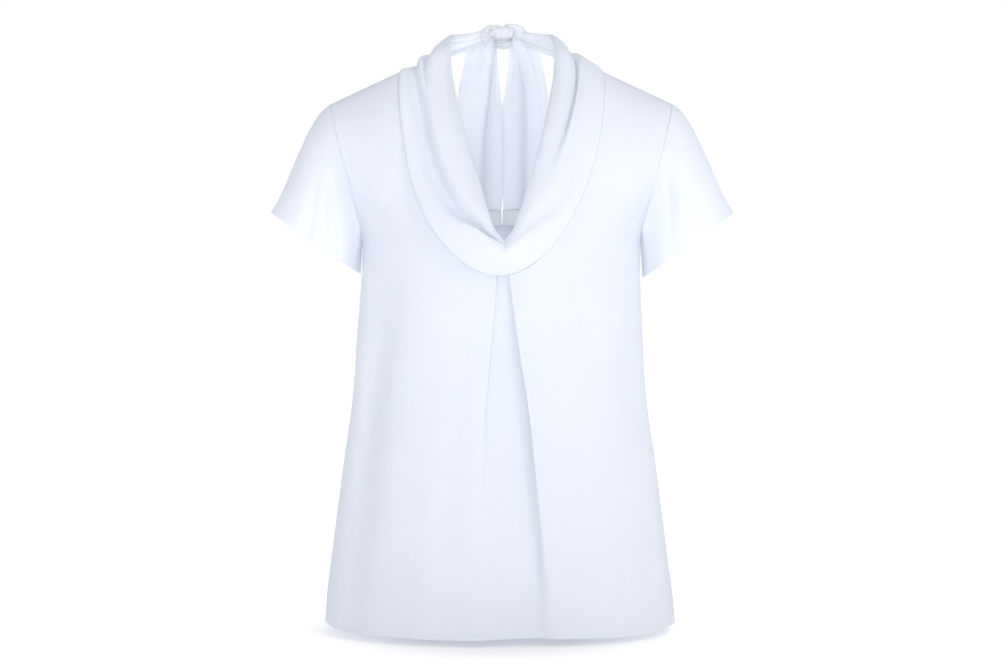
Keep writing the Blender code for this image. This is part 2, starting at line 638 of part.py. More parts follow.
def tie_knot():
    """The knot, a soft lump with a lobe at each side of the band that wraps its middle."""
    rings, around = KNOT_RINGS, KNOT_AROUND
    points = [(-KNOT_HALF_SIZE[0], 0.0, 0.0)]
    for step in range(1, rings):
        t = -math.cos(math.pi * step / rings)
        waist = 1 - KNOT_WAIST * math.exp(-((t / KNOT_WAIST_WIDTH) ** 2))
        girth = (1 - abs(t) ** KNOT_POWER) ** 0.5 * waist
        for turn in range(around):
            angle = 2 * math.pi * turn / around
            points.append(
                (
                    KNOT_HALF_SIZE[0] * t,
                    KNOT_HALF_SIZE[1] * girth * math.cos(angle),
                    KNOT_HALF_SIZE[2] * girth * math.sin(angle),
                )
            )
    points.append((KNOT_HALF_SIZE[0], 0.0, 0.0))
    faces = [(0, 1 + (c + 1) % around, 1 + c) for c in range(around)]
    for r in range(rings - 2):
        for c in range(around):
            first, next_one = 1 + r * around, 1 + (r + 1) * around
            faces.append((first + c, first + (c + 1) % around, next_one + (c + 1) % around, next_one + c))
    last = 1 + (rings - 2) * around
    faces += [(last + c, last + (c + 1) % around, len(points) - 1) for c in range(around)]
    mesh = bpy.data.meshes.new("tie_knot")
    mesh.from_pydata([tuple(c * MM for c in p) for p in points], [], faces)
    build = bmesh.new()
    build.from_mesh(mesh)
    bmesh.ops.recalc_face_normals(build, faces=build.faces)
    build.to_mesh(mesh)
    build.free()
    mesh.shade_smooth()
    mesh.materials.append(crepe_material("tie_knot"))
    knot = bpy.data.objects.new("tie_knot", mesh)
    knot.location = [c * MM for c in KNOT_CENTRE]
    bpy.context.scene.collection.objects.link(knot)
    return knot


def tie_tail(name, side):
    """One hanging end of the tie, folded lengthwise so that its inner part lies over its outer part."""
    rows = []
    for depth in np.linspace(TAIL["depth"][0], TAIL["depth"][-1], TAIL_ROWS):
        names = ("inner_x", "outer_x", "crease_x", "y")
        inner, outer, crease, y = (float(smooth(TAIL, name, depth)) for name in names)
        under = min(TAIL_UNDER, 0.5 * (crease - inner))
        corners = [(inner, 0), (crease, 0), (crease - under, TAIL_FOLD), (outer, TAIL_FOLD + TAIL_SPREAD)]
        section = rounded(corners, FOLD_RADIUS, FOLD_STEPS)
        rows.append([(side * x + TAIL_LEAN, y + back_off, -depth) for x, back_off in section])
    return cloth(name, [np.array(rows)])


def clear_scene():
    for thing in list(bpy.data.objects):
        bpy.data.objects.remove(thing)


clear_scene()
front()
back()
for word, side in (("left", 1), ("right", -1)):
    back_facing("back_facing_" + word, side)
    sleeve("sleeve_" + word, side)
    tie_band("tie_band_" + word, side)
    tie_tail("tie_tail_" + word, side)
cowl_collar()
tie_knot()
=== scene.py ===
"""Cowl neck blouse with a tie back, in pale blue crepe: its finished surfaces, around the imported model.

The frame is metres, +Z up, the front faces -Y and the wearer's left is +X. Tables and sizes are in
millimetres until a mesh is made. The sections follow the order in which the blouse is sewn.
"""

import math

import bmesh
import bpy
import numpy as np
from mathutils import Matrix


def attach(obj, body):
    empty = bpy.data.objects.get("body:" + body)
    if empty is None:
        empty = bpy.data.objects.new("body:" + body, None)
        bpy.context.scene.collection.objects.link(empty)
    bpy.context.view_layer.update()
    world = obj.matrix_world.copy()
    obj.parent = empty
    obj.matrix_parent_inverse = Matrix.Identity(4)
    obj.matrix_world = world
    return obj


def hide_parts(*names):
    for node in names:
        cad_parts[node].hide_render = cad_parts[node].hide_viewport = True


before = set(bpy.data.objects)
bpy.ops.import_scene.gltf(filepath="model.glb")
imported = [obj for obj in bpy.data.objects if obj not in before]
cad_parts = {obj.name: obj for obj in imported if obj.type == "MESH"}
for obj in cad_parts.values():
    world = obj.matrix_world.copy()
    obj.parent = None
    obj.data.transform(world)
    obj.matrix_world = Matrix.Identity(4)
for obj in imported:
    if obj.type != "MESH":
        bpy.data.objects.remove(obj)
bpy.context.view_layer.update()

# --- camera --------------------------------------------------------------------------------------
# An 85 mm lens straight in front of the blouse and a little above the level of its middle, so that the
# hem shows its curve.

CAMERA_TARGET = np.array([0.0028, 0.0, -0.2957])
CAMERA_DISTANCE = 2.666
CAMERA_ELEVATION = math.radians(1.0)

camera = bpy.data.objects.new("camera", bpy.data.cameras.new("camera"))
bpy.context.scene.collection.objects.link(camera)
bpy.context.scene.camera = camera
camera.data.lens = 85
camera.data.sensor_width = 36
towards_viewer = np.array([0.0, -math.cos(CAMERA_ELEVATION), math.sin(CAMERA_ELEVATION)])
camera.location = CAMERA_TARGET + CAMERA_DISTANCE * towards_viewer
camera.rotation_euler = (math.pi / 2 - CAMERA_ELEVATION, 0, 0)

# --- front ---------------------------------------------------------------------------------------
# One piece of matt polyester crepe, cut wider than the body by the depth of an inverted pleat. The pleat
# is pressed under the collar and opens into a soft trough towards the hem, which is turned and stitched.

MM = 0.001
WALL = 0.8  # the cloth with its turned edges
MERGE = 0.02  # points nearer to each other than this become one
SEAM_GAP = 0.3  # between two pieces that are sewn together
CLEAR = 1.7  # between the middles of two layers that lie on each other
LOOSE = 1.3  # a free edge lies this many times CLEAR from what is under it

HEM_DEPTH = 618.6
HEM_SIDE_RISE = 5.0
HEM_LEVEL = 0.72  # the hem is level this far out, as a share of its half width
HEM_WAVE = {"height": 0.7, "length": 31.0}
HEM_PULL = 3  # the power by which the hem's rise dies out up the panel
NECK_HALF_WIDTH = 113.0
NECK_DEPTH = 224.5
NECK_STRAIGHT = 15.0
NECK_POWER = 1.8
RING_POWER = 2.2  # of the body's rings, which are superellipses

# Rings of the worn body, by how far they are below the shoulders. Above 194 the armholes cut them.
BODY = {
    "depth": (0, 40, 80, 120, 160, 194, 223, 255, 300, 367, 434, 480, 540, 591, 619),
    "front_width":
        (205, 270, 232, 189, 164, 154.5, 155, 156.5, 159.5, 164.5, 174, 180, 187.5, 193.5, 195.5),
    "front": (80, 81, 85, 95, 109, 117, 119.5, 119, 115, 113, 115, 118, 124, 129, 131),
    "back_width": (200, 228, 214, 193, 166, 154.5, 155, 156.5, 159.5, 164.5, 174, 180, 187.5, 193.5, 195.5),
    "back": (69, 74, 88.5, 97.5, 103, 104, 102, 99, 96, 96, 100, 104, 110, 116, 118),
    "lean": (0, 0, 0, 0, 0, 0, -0.5, -1.2, -2, -2.2, -2.2, -2.2, -2.2, -1.8, -1.6),
}
SHOULDER_SLOPE = 36 / 77  # the seam falls this much from the neck towards the sleeve
SHOULDER_Y = 6.3
# How far below the shoulder seam the cloth still turns over it, and the power of that turn
TURN_OVER = {"side": (-1, 1), "drop": (118, 58), "power": (1.7, 1.75)}
# The front's armhole, by shares of the way up its neckline
ARMPIT_ROW = 0.14
LEAN_ROWS = (0.1, 0.05)  # the body's lean dies out above this row, over so many rows
PLEAT_PULL = 6  # the power by which the first column comes back to the neckline above the pleat
FRONT_ARM = {
    "row": (0, 0.14, 0.2, 0.3, 0.5, 0.7, 0.85, 0.93, 1),
    "x": (155, 154.5, 155, 159.5, 169, 178, 184.5, 187.5, 190),
    "depth": (224.5, 194, 181, 160, 120, 86, 60, 48, 36),
}

# Pleat: x of the two edges that show, how far the underlay lies behind each, how far each fold goes under
# its edge, or opens out where it is negative, and how soft the fold is, in shares of the flats beside it
PLEAT = {
    "depth": (224.5, 256, 291, 325, 360, 394, 428, 480, 540, 585, 619),
    "right_lip": (-4, -6.5, -10, -13.5, -17, -19.5, -21, -22.5, -24, -26, -28),
    "left_lip": (7.5, 11.5, 16, 21.5, 27, 31.5, 35, 40, 46, 50, 53),
    "right_recess": (4.4, 5.5, 7, 8, 8.5, 8.5, 8, 7, 6, 5.5, 5),
    "left_recess": (4.4, 6.5, 9, 11, 12, 13, 13.5, 14, 14.5, 15, 15.5),
    "right_under": (7, 3, 0.5, -1.5, -3, -5, -9, -14, -19, -22, -25),
    "left_under": (7, 8, 8.5, 8.5, 8, 7, 5, 0, -7, -13, -17),
    "right_soft": (0.12, 0.15, 0.2, 0.25, 0.32, 0.42, 0.55, 0.7, 0.8, 0.9, 0.9),
    "left_soft": (0.12, 0.12, 0.12, 0.12, 0.13, 0.15, 0.2, 0.34, 0.5, 0.6, 0.7),
}
PLEAT_SHOULDER = (7.0, 0.55)  # the cloth is flat again this far past an edge, and more as it opens out
INNER_SOFT = 0.9  # no fold of the underlay is softer than this


def by_rows(columns, lines):
    """Tables with the same named columns, one for each line, from its rows."""
    return {name: dict(zip(columns.split(), zip(*rows))) for name, rows in lines.items()}


# The front's soft creases, which run down it. Each row gives where the crease is at a depth, its height,
# which is negative for a trough, and how wide it is towards the wearer's right and left
FRONT_CREASES = by_rows("depth x height rightwards leftwards", {
    "right side": [
        (200, -128, 0, 16, 22), (240, -131, -4.5, 16, 24), (300, -138, -9, 15, 24),
        (370, -146, -10, 14, 22), (450, -153, -8.5, 14, 20), (530, -160, -6, 14, 18),
        (612, -166, -4, 14, 16),
    ],
    "right of pleat": [
        (262, -36, 0, 12, 7), (300, -39, -0.7, 12, 7), (350, -43, -1.4, 12, 7), (400, -46, -1.5, 12, 7),
        (450, -50, -1.2, 14, 8), (500, -56, -1.4, 16, 9), (560, -62, 0, 18, 10),
    ],
    "right ridge": [
        (330, -72, 0, 16, 14), (400, -76, 0.8, 16, 14), (450, -78, 1.6, 18, 14), (500, -80, 2, 18, 14),
        (560, -84, 2.4, 18, 14), (615, -88, 2.8, 18, 14),
    ],
    "left of pleat": [
        (330, 84, 0, 22, 20), (400, 88, 0.7, 22, 20), (460, 92, 1.2, 22, 20), (520, 96, 1.8, 22, 20),
        (570, 99, 2.4, 20, 20), (615, 102, 2.8, 20, 20),
    ],
    "left side": [
        (215, 133, 0, 16, 13), (270, 137, -1.6, 17, 13), (330, 143, -2.2, 17, 13), (400, 149, -2, 17, 13),
        (480, 156, -1.8, 16, 12), (560, 163, -1.6, 15, 12), (615, 168, -1.6, 15, 12),
    ],
})
# Drag lines, which run from the armholes towards the bust: how deep each is at an x
FRONT_DRAGS = by_rows("x depth height above below", {
    "right arm": [
        (-171, 118, 0, 7, 12), (-160, 130, -3, 8, 13), (-146, 143, -5, 9, 15), (-130, 157, -4.4, 11, 17),
        (-112, 170, -2.4, 13, 19), (-92, 182, 0, 14, 20),
    ],
    "right arm, upper": [
        (-178, 76, 0, 8, 10), (-168, 84, -1.6, 8, 11), (-154, 94, -2.2, 9, 12), (-138, 106, -1.4, 10, 13),
        (-120, 118, 0, 11, 14),
    ],
    "left arm": [
        (106, 190, 0, 12, 18), (122, 178, -0.9, 11, 17), (138, 165, -1.7, 10, 15), (150, 153, -1.9, 9, 13),
        (160, 140, -1.2, 8, 12), (168, 126, 0, 8, 11),
    ],
})
CREASE_FADE = 12.0  # a crease dies out this far past its ends
SEAM_FADE = 0.1  # and over this share of a panel's half width, at its side seam
HEM_TURN = 4.6  # depth of the narrow hem
HEM_THICKER = 0.35
HEM_STEP = 1.2  # over which the hem gets thicker
HEM_GROOVE = {"below": 0.7, "half_width": 0.6}  # along the stitches, from the hem's upper edge
HEM_MARGIN = 3.0  # above the hem, with rows as close as the hem's own
HEM_END = 0.03  # the hem thins out over this share of the half width, at the side seam
ROWS_ABOVE_HEM = 96
HEM_ROWS = 15
UPPER_ROWS = 84
FLAT_COLUMNS = 52
PLEAT_COLUMNS = 81

STITCH_PITCH = 3.0
STITCH_SIZE = (2.5, 0.45, 0.36)  # long, wide and thick
STITCH_ROW = 7  # of the rows of the hem, up from its edge
STITCH_AIM = 0.2  # before and after a stitch, where its direction is taken
SPINDLE = np.array([(-1, 0, 0), (1, 0, 0), (0, 1, 0), (0, -1, 0), (0, 0, 1), (0, 0, -1)], float)
SPINDLE_FACES = np.array(
    [(0, 2, 4), (2, 1, 4), (1, 3, 4), (3, 0, 4), (2, 0, 5), (1, 2, 5), (3, 1, 5), (0, 3, 5)]
)

CREPE_COLOUR = "#F3F5F9"
CREPE_SHADE = "#EEF1F8"
THREAD_COLOUR = "#EDF0F6"
SEE_THROUGH = 0.55  # the share of the light that the thin cloth passes on
# Millimetres across the thicker yarns, the uneven patches of colour and the grain. The true grain is about
# 0.4. It is drawn twice as coarse, so that the camera can still see it.
SLUB, PATCH, GRAIN = 5.26, 71.4, 0.91
SLUB_STRETCH = 0.12  # slubs run lengthwise
SLUB_SHARE = 0.35  # of the grain's height
GRAIN_DEPTH = 0.12


def smooth(table, name, at):
    """The named column at values of the table's first column, by monotone cubic interpolation."""
    x = np.array(next(iter(table.values())), float)
    y = np.array(table[name], float)
    step, slope = np.diff(x), np.diff(y) / np.diff(x)
    both = slope[:-1] * slope[1:]
    first, second = 2 * step[1:] + step[:-1], step[1:] + 2 * step[:-1]
    under = np.where(both > 0, first * slope[1:] + second * slope[:-1], 1)
    mean = np.where(both > 0, (first + second) * both / under, 0)
    tangent = np.concatenate([slope[:1], mean, slope[-1:]])
    at = np.clip(np.asarray(at, float), x[0], x[-1])
    i = np.clip(np.searchsorted(x, at) - 1, 0, len(step) - 1)
    t = (at - x[i]) / step[i]
    return (
        y[i] * (1 + 2 * t) * (1 - t) ** 2
        + tangent[i] * step[i] * t * (1 - t) ** 2
        + y[i + 1] * t**2 * (3 - 2 * t)
        - tangent[i + 1] * step[i] * t**2 * (1 - t)
    )


def ease(value):
    """0 up to 0, 1 from 1, and a smooth rise between."""
    value = np.clip(value, 0, 1)
    return value * value * (3 - 2 * value)


def unit(vectors):
    """The vectors at length 1."""
    return vectors / np.linalg.norm(vectors, axis=-1, keepdims=True)


def body_y(x, z, side):
    """Y of the worn body's surface, in front where side is -1 and behind where it is 1. Each ring is a
    superellipse, and another draws the rings in to the shoulder seam."""
    word = "front" if side < 0 else "back"
    share = np.abs(x - smooth(BODY, "lean", -z)) / smooth(BODY, word + "_width", -z)
    ring = smooth(BODY, word, -z) * np.clip(1 - share**RING_POWER, 0, 1) ** (1 / RING_POWER)
    ring = np.maximum(ring, SEAM_GAP / 2)
    below = -SHOULDER_SLOPE * (np.abs(x) - NECK_HALF_WIDTH) - z
    power = smooth(TURN_OVER, "power", side)
    turn = np.clip(below / smooth(TURN_OVER, "drop", side), 0, 1)
    over = (1 - (1 - turn) ** power) ** (1 / power)
    seam = side * SHOULDER_Y + SEAM_GAP / 2
    return side * (seam + (ring - seam) * over)


def body_normal(x, z, side):
    """The body's outward unit normal, from the slopes of its surface across a millimetre."""
    across = body_y(x + 0.5, z, side) - body_y(x - 0.5, z, side)
    up = body_y(x, z + 0.5, side) - body_y(x, z - 0.5, side)
    return unit(side * np.stack([-across, np.ones_like(across), -up], axis=-1))


def crease(lines, along, across):
    """Summed heights of soft creases. Each is a bell across its line, with a width for each side of it. A
    line's columns are its places along and across, its height and its widths before and after it."""
    total = 0.0
    for line in lines.values():
        places, centre, _, before, after = line
        off = across - smooth(line, centre, along)
        width = np.where(off < 0, smooth(line, before, along), smooth(line, after, along))
        since, until = along - line[places][0], line[places][-1] - along
        inside = ease((since + CREASE_FADE) / CREASE_FADE) * ease((until + CREASE_FADE) / CREASE_FADE)
        total = total + inside * smooth(line, "height", along) * np.exp(-((off / width) ** 2))
    return total


def hem_relief(above):
    """A turned hem at a height above the edge: a little thicker, with a groove along its stitches."""
    groove = (above - HEM_TURN + HEM_GROOVE["below"]) / HEM_GROOVE["half_width"]
    return HEM_THICKER * (1 - ease((above - HEM_TURN) / HEM_STEP) - np.exp(-(groove**2)))


def relief(word, creases, drags, x, z):
    """How far a panel stands off the smooth body: its creases and drag lines, but none at its seams."""
    seams = 1 - ease((np.abs(x) / smooth(BODY, word + "_width", -z) - 1 + SEAM_FADE) / SEAM_FADE)
    return (crease(creases, -z, x) + crease(drags, x, -z)) * seams


def front_relief(x, z):
    """The relief of the front."""
    return relief("front", FRONT_CREASES, FRONT_DRAGS, x, z)


def neckline(half_width, depth, straight, power, shares):
    """Half a scooped neckline from its foot to the shoulder, as x and z: a superelliptic arc, then a
    straight rise, at the given shares of its length."""
    angle = np.linspace(0, math.pi / 2, 1500)
    x = np.append(half_width * np.sin(angle) ** (2 / power), half_width)
    z = np.append(-straight - (depth - straight) * np.abs(np.cos(angle)) ** (2 / power), 0.0)
    along = np.concatenate([[0], np.cumsum(np.hypot(np.diff(x), np.diff(z)))])
    at = np.asarray(shares) * along[-1]
    return np.interp(at, along, x), np.interp(at, along, z)


def soft_line(corners, at, softness):
    """Points of a polyline whose corners are rounded. corners is (..., corner, axis), at counts from
    corner to corner, and softness is how far before and after each corner its turn reaches."""
    corners = np.asarray(corners, float)
    legs = np.diff(corners, axis=-2)
    points = corners[..., :1, :] + legs[..., :1, :] * at[:, None]
    for k in range(1, legs.shape[-2]):
        reach = np.asarray(softness)[..., k - 1, None]
        past = at - k
        ramp = np.clip(past + reach, 0, 2 * reach) ** 2 / (4 * reach) + np.maximum(past - reach, 0)
        turn = legs[..., k, :] - legs[..., k - 1, :]
        points = points + ramp[..., :, None] * turn[..., None, :]
    return points


def corner_points(*corners):
    """Corners of a section, each an x and an inward for every row, as one array of points."""
    return np.stack([np.stack(np.broadcast_arrays(*corner), axis=-1) for corner in corners], axis=-2)


def pleat_section(depth, columns):
    """The pleat at each depth as x and how far inward, across both its edges and the underlay."""
    row = {name: smooth(PLEAT, name, depth) for name in PLEAT if name != "depth"}
    zero = np.zeros_like(depth)
    right_end = PLEAT_SHOULDER[0] + PLEAT_SHOULDER[1] * np.maximum(-row["right_under"], 0)
    left_end = PLEAT_SHOULDER[0] + PLEAT_SHOULDER[1] * np.maximum(-row["left_under"], 0)
    corners = corner_points(
        (row["right_lip"] - right_end, zero),
        (row["right_lip"], zero),
        (row["right_lip"] - row["right_under"], row["right_recess"]),
        (row["left_lip"] + row["left_under"], row["left_recess"]),
        (row["left_lip"], zero),
        (row["left_lip"] + left_end, zero),
    )
    right, left = row["right_soft"], row["left_soft"]
    inner = np.minimum(right, INNER_SOFT), np.minimum(left, INNER_SOFT)
    at = np.linspace(0, corners.shape[-2] - 1, columns)
    section = soft_line(corners, at, np.stack([right, *inner, left], axis=-1))
    return section[..., 0], section[..., 1]


def hem_rise(x):
    """The hem is level across, rises a little to the side seams, and waves by a millimetre."""
    share = np.clip((np.abs(x) / BODY["front_width"][-1] - HEM_LEVEL) / (1 - HEM_LEVEL), 0, 1)
    return HEM_SIDE_RISE * share**2 + HEM_WAVE["height"] * np.sin(x / HEM_WAVE["length"]) * (1 - share)


def lower_panel(side, top, stand_off, pleat_columns=0):
    """A panel from the hem up to a depth, from side seam to side seam. Its columns are shares of the way
    across, with the pleat's section between them in front."""
    hem = HEM_DEPTH - np.linspace(0, HEM_TURN + HEM_MARGIN, HEM_ROWS)
    depth = np.concatenate([hem, np.linspace(hem[-1], top, ROWS_ABOVE_HEM)[1:]])[:, None]
    half, lean = smooth(BODY, "front_width", depth), smooth(BODY, "lean", depth)
    share = np.sin(np.linspace(0, math.pi / 2, FLAT_COLUMNS))
    middle = inward = np.zeros((len(depth), 1))
    if pleat_columns:
        middle, inward = pleat_section(depth[:, 0], pleat_columns)
    right = middle[:, :1] + (lean - half - middle[:, :1]) * share[::-1]
    left = middle[:, -1:] + (lean + half - middle[:, -1:]) * share
    x = np.concatenate([right, middle[:, 1:-1], left if pleat_columns else left[:, 1:]], axis=1)
    flat = np.zeros((len(depth), FLAT_COLUMNS))
    inward = np.concatenate([flat, inward[:, 1:-1], flat], axis=1)[:, : x.shape[1]]
    z = np.broadcast_to(-depth, x.shape)
    normal = body_normal(x, z, side)
    points = np.stack([x, body_y(x, z, side) - side * inward, z], axis=-1)
    points[:, 0, 1] = points[:, -1, 1] = side * SEAM_GAP / 2
    hem_ends = ease((np.abs(x) / half - 1 + HEM_END) / HEM_END)
    lift = stand_off(x, z) + hem_relief(HEM_DEPTH - depth) * (1 - hem_ends)
    points += lift[..., None] * normal
    points[..., 2] += hem_rise(x) * np.clip((depth - top) / (HEM_DEPTH - top), 0, 1) ** HEM_PULL
    return points


def upper_panel(side, foot, arm, rows, stand_off, start=0.0):
    """A panel for the wearer's left, or right where start is negative, from its neckline to the armhole.
    Rows are shares of the way from the neckline's foot to the shoulder, and columns shares across. The
    first row begins at start, beside the pleat."""
    neck_x, neck_z = foot(rows)
    arm_x, arm_z = smooth(arm, "x", rows), -smooth(arm, "depth", rows)
    share = np.sin(np.linspace(0, math.pi / 2, FLAT_COLUMNS))
    x = neck_x[:, None] + (arm_x - neck_x)[:, None] * share
    z = neck_z[:, None] + (arm_z - neck_z)[:, None] * share
    x = x + abs(start) * ((1 - rows) ** PLEAT_PULL)[:, None] * (1 - share)
    x = -x if start < 0 else x
    leaning = 1 - ease((rows - LEAN_ROWS[0]) / LEAN_ROWS[1])
    x = x + smooth(BODY, "lean", -z) * leaning[:, None] * share
    points = np.stack([x, body_y(x, z, side), z], axis=-1)
    points[rows < ARMPIT_ROW, -1, 1] = side * SEAM_GAP / 2
    points += stand_off(x, z)[..., None] * body_normal(x, z, side)
    return points


def front_foot(rows):
    """The front's neckline on the wearer's left, at shares of its length from the centre."""
    return neckline(NECK_HALF_WIDTH, NECK_DEPTH, NECK_STRAIGHT, NECK_POWER, rows)


def grid_faces(rows, columns, first, wrap=False):
    """Quads between the points of a grid that is numbered row by row, as an array of four corners."""
    last = columns if wrap else columns - 1
    row, column = np.meshgrid(np.arange(rows - 1), np.arange(last), indexing="ij")
    this, beside = row * columns + column, row * columns + (column + 1) % columns
    return first + np.stack([this, beside, beside + columns, this + columns], axis=-1).reshape(-1, 4)


def new_piece(name, points, faces, material):
    """An object from points in metres and faces, with its material."""
    mesh = bpy.data.meshes.new(name)
    mesh.from_pydata(points.tolist(), [], faces.tolist())
    mesh.materials.append(material)
    piece = bpy.data.objects.new(name, mesh)
    bpy.context.scene.collection.objects.link(piece)
    return piece


def cloth(name, patches, material, wall=WALL, wrap=False):
    """One piece of cloth from grids of points, which are merged where they share a border."""
    points = np.concatenate([patch.reshape(-1, 3) for patch in patches]) * MM
    firsts = np.cumsum([0] + [patch.shape[0] * patch.shape[1] for patch in patches])
    faces = np.concatenate(
        [grid_faces(*patch.shape[:2], first, wrap) for patch, first in zip(patches, firsts)]
    )
    piece = new_piece(name, points, faces, material)
    build = bmesh.new()
    build.from_mesh(piece.data)
    bmesh.ops.remove_doubles(build, verts=build.verts, dist=MERGE * MM)
    bmesh.ops.recalc_face_normals(build, faces=build.faces)
    build.to_mesh(piece.data)
    build.free()
    piece.data.shade_smooth()
    if wall:
        solidify = piece.modifiers.new("wall", "SOLIDIFY")
        solidify.thickness = wall * MM
        solidify.offset = 0
        solidify.use_even_offset = False
    return piece


def stitch_row(name, grid, row, material, closed=False):
    """Machine stitches along a row of a grid of cloth, as one mesh. Each is a spindle of thread at even
    steps along the row, lying on the cloth's outer face."""
    around = np.roll(grid, -1, axis=1) - np.roll(grid, 1, axis=1) if closed else np.gradient(grid, axis=1)
    out = unit(np.cross(around, np.gradient(grid, axis=0))[row])
    line = grid[row]
    out = out * np.sign(np.sum(out * (line - line.mean(axis=0))))
    line = line + (WALL / 2) * out
    if closed:
        line, out = np.concatenate([line, line[:1]]), np.concatenate([out, out[:1]])
    length = np.concatenate([[0], np.cumsum(np.linalg.norm(np.diff(line, axis=0), axis=1))])
    at = np.arange(STITCH_PITCH, length[-1] - STITCH_PITCH, STITCH_PITCH)
    centre, before, after, normal = (
        np.stack([np.interp(at + shift, length, values[:, k]) for k in range(3)], axis=-1)
        for shift, values in ((0, line), (-STITCH_AIM, line), (STITCH_AIM, line), (0, out))
    )
    along = unit(after - before)
    beside = np.cross(along, normal)
    axes = np.stack([along, beside, normal], axis=1)
    points = centre[:, None] + np.einsum("vk,nkd->nvd", SPINDLE * np.array(STITCH_SIZE) / 2, axes)
    faces = (SPINDLE_FACES + len(SPINDLE) * np.arange(len(at))[:, None, None]).reshape(-1, 3)
    return new_piece(name, points.reshape(-1, 3) * MM, faces, material)


def colour(hex_code):
    """An sRGB hex code as the linear colour that the shader takes."""
    parts = [int(hex_code[i : i + 2], 16) / 255 for i in (1, 3, 5)]
    return [c / 12.92 if c <= 0.04045 else ((c + 0.055) / 1.055) ** 2.4 for c in parts] + [1.0]


def add_node(tree, kind, inputs=(), **settings):
    """Adds a shader node with its settings, and sets or links its inputs."""
    added = tree.nodes.new(kind)
    for name, value in settings.items():
        setattr(added, name, value)
    for name, value in dict(inputs).items():
        if isinstance(value, bpy.types.NodeSocket):
            tree.links.new(value, added.inputs[name])
        else:
            added.inputs[name].default_value = value
    return added


def new_material(name, **settings):
    """A material with its tree and its shader, whose sockets take the settings, named without spaces."""
    material = bpy.data.materials.new(name)
    material.use_nodes = True
    shader = material.node_tree.nodes["Principled BSDF"]
    for socket, value in settings.items():
        shader.inputs[socket.replace("_", " ")].default_value = value
    return material, material.node_tree, shader


def crepe(name, tint, shade, see_through):
    """Matt crepe: over-twisted yarns give it a fine pebbled grain, faint lengthwise slubs that vary the
    colour a little, and a soft bloom where it turns away from the eye."""
    material, tree, shader = new_material(name, Roughness=0.78, Sheen_Weight=0.06, Sheen_Roughness=0.5)
    place = add_node(tree, "ShaderNodeTexCoord").outputs["Object"]
    along = add_node(tree, "ShaderNodeMapping", {"Vector": place, "Scale": (1, 1, SLUB_STRETCH)})
    slub, patch, grain = (
        add_node(tree, "ShaderNodeTexNoise", {"Vector": at, "Scale": 1 / (size * MM), "Detail": detail})
        for at, size, detail in ((along.outputs[0], SLUB, 3.0), (place, PATCH, 2.0), (place, GRAIN, 2.0))
    )
    vary = add_node(
        tree, "ShaderNodeMath", {0: slub.outputs["Fac"], 1: patch.outputs["Fac"]}, operation="MULTIPLY"
    )
    mixed = add_node(
        tree,
        "ShaderNodeMix",
        {"Factor": vary.outputs[0], "A": colour(tint), "B": colour(shade)},
        data_type="RGBA",
    ).outputs["Result"]
    heights = add_node(
        tree,
        "ShaderNodeMath",
        {0: slub.outputs["Fac"], 1: SLUB_SHARE, 2: grain.outputs["Fac"]},
        operation="MULTIPLY_ADD",
    )
    pebbles = add_node(
        tree,
        "ShaderNodeBump",
        {"Height": heights.outputs[0], "Distance": GRAIN_DEPTH * MM, "Strength": 0.5},
    ).outputs["Normal"]
    glow = add_node(tree, "ShaderNodeBsdfTranslucent", {"Color": mixed, "Normal": pebbles})
    both = add_node(tree, "ShaderNodeMixShader", {0: see_through, 1: shader.outputs[0], 2: glow.outputs[0]})
    tree.links.new(mixed, shader.inputs["Base Color"])
    tree.links.new(pebbles, shader.inputs["Normal"])
    tree.links.new(both.outputs[0], tree.nodes["Material Output"].inputs["Surface"])
    shader.inputs["Specular IOR Level"].default_value = 0.3
    return material


def thread(name, tint):
    """Spun polyester thread: smoother and a little shinier than the crepe."""
    return new_material(name, Base_Color=colour(tint), Roughness=0.55, Sheen_Weight=0.2)[0]


sewing_thread = thread("sewing_thread", THREAD_COLOUR)
body_crepe = crepe("matt_crepe", CREPE_COLOUR, CREPE_SHADE, SEE_THROUGH)
front_lower = lower_panel(-1, NECK_DEPTH, front_relief, PLEAT_COLUMNS)
front_rows = np.linspace(0, 1, UPPER_ROWS)
front_patches = [front_lower]
for border in (front_lower[-1][-FLAT_COLUMNS:], front_lower[-1][:FLAT_COLUMNS][::-1]):
    upper = upper_panel(-1, front_foot, FRONT_ARM, front_rows, front_relief, border[0, 0])
    upper[0] = border
    front_patches.append(upper)
front = cloth("front_cloth", front_patches, body_crepe)
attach(front, "root")
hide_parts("front")
front_stitches = stitch_row("front_hem_stitches", front_lower, STITCH_ROW, sewing_thread)
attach(front_stitches, "root")

# --- back ----------------------------------------------------------------------------------------
# One piece of the same crepe, with a low scooped neckline and a short slit at the centre. It is sewn to
# the front at the shoulders and sides, its neckline is faced inside, and its hem is turned and stitched.

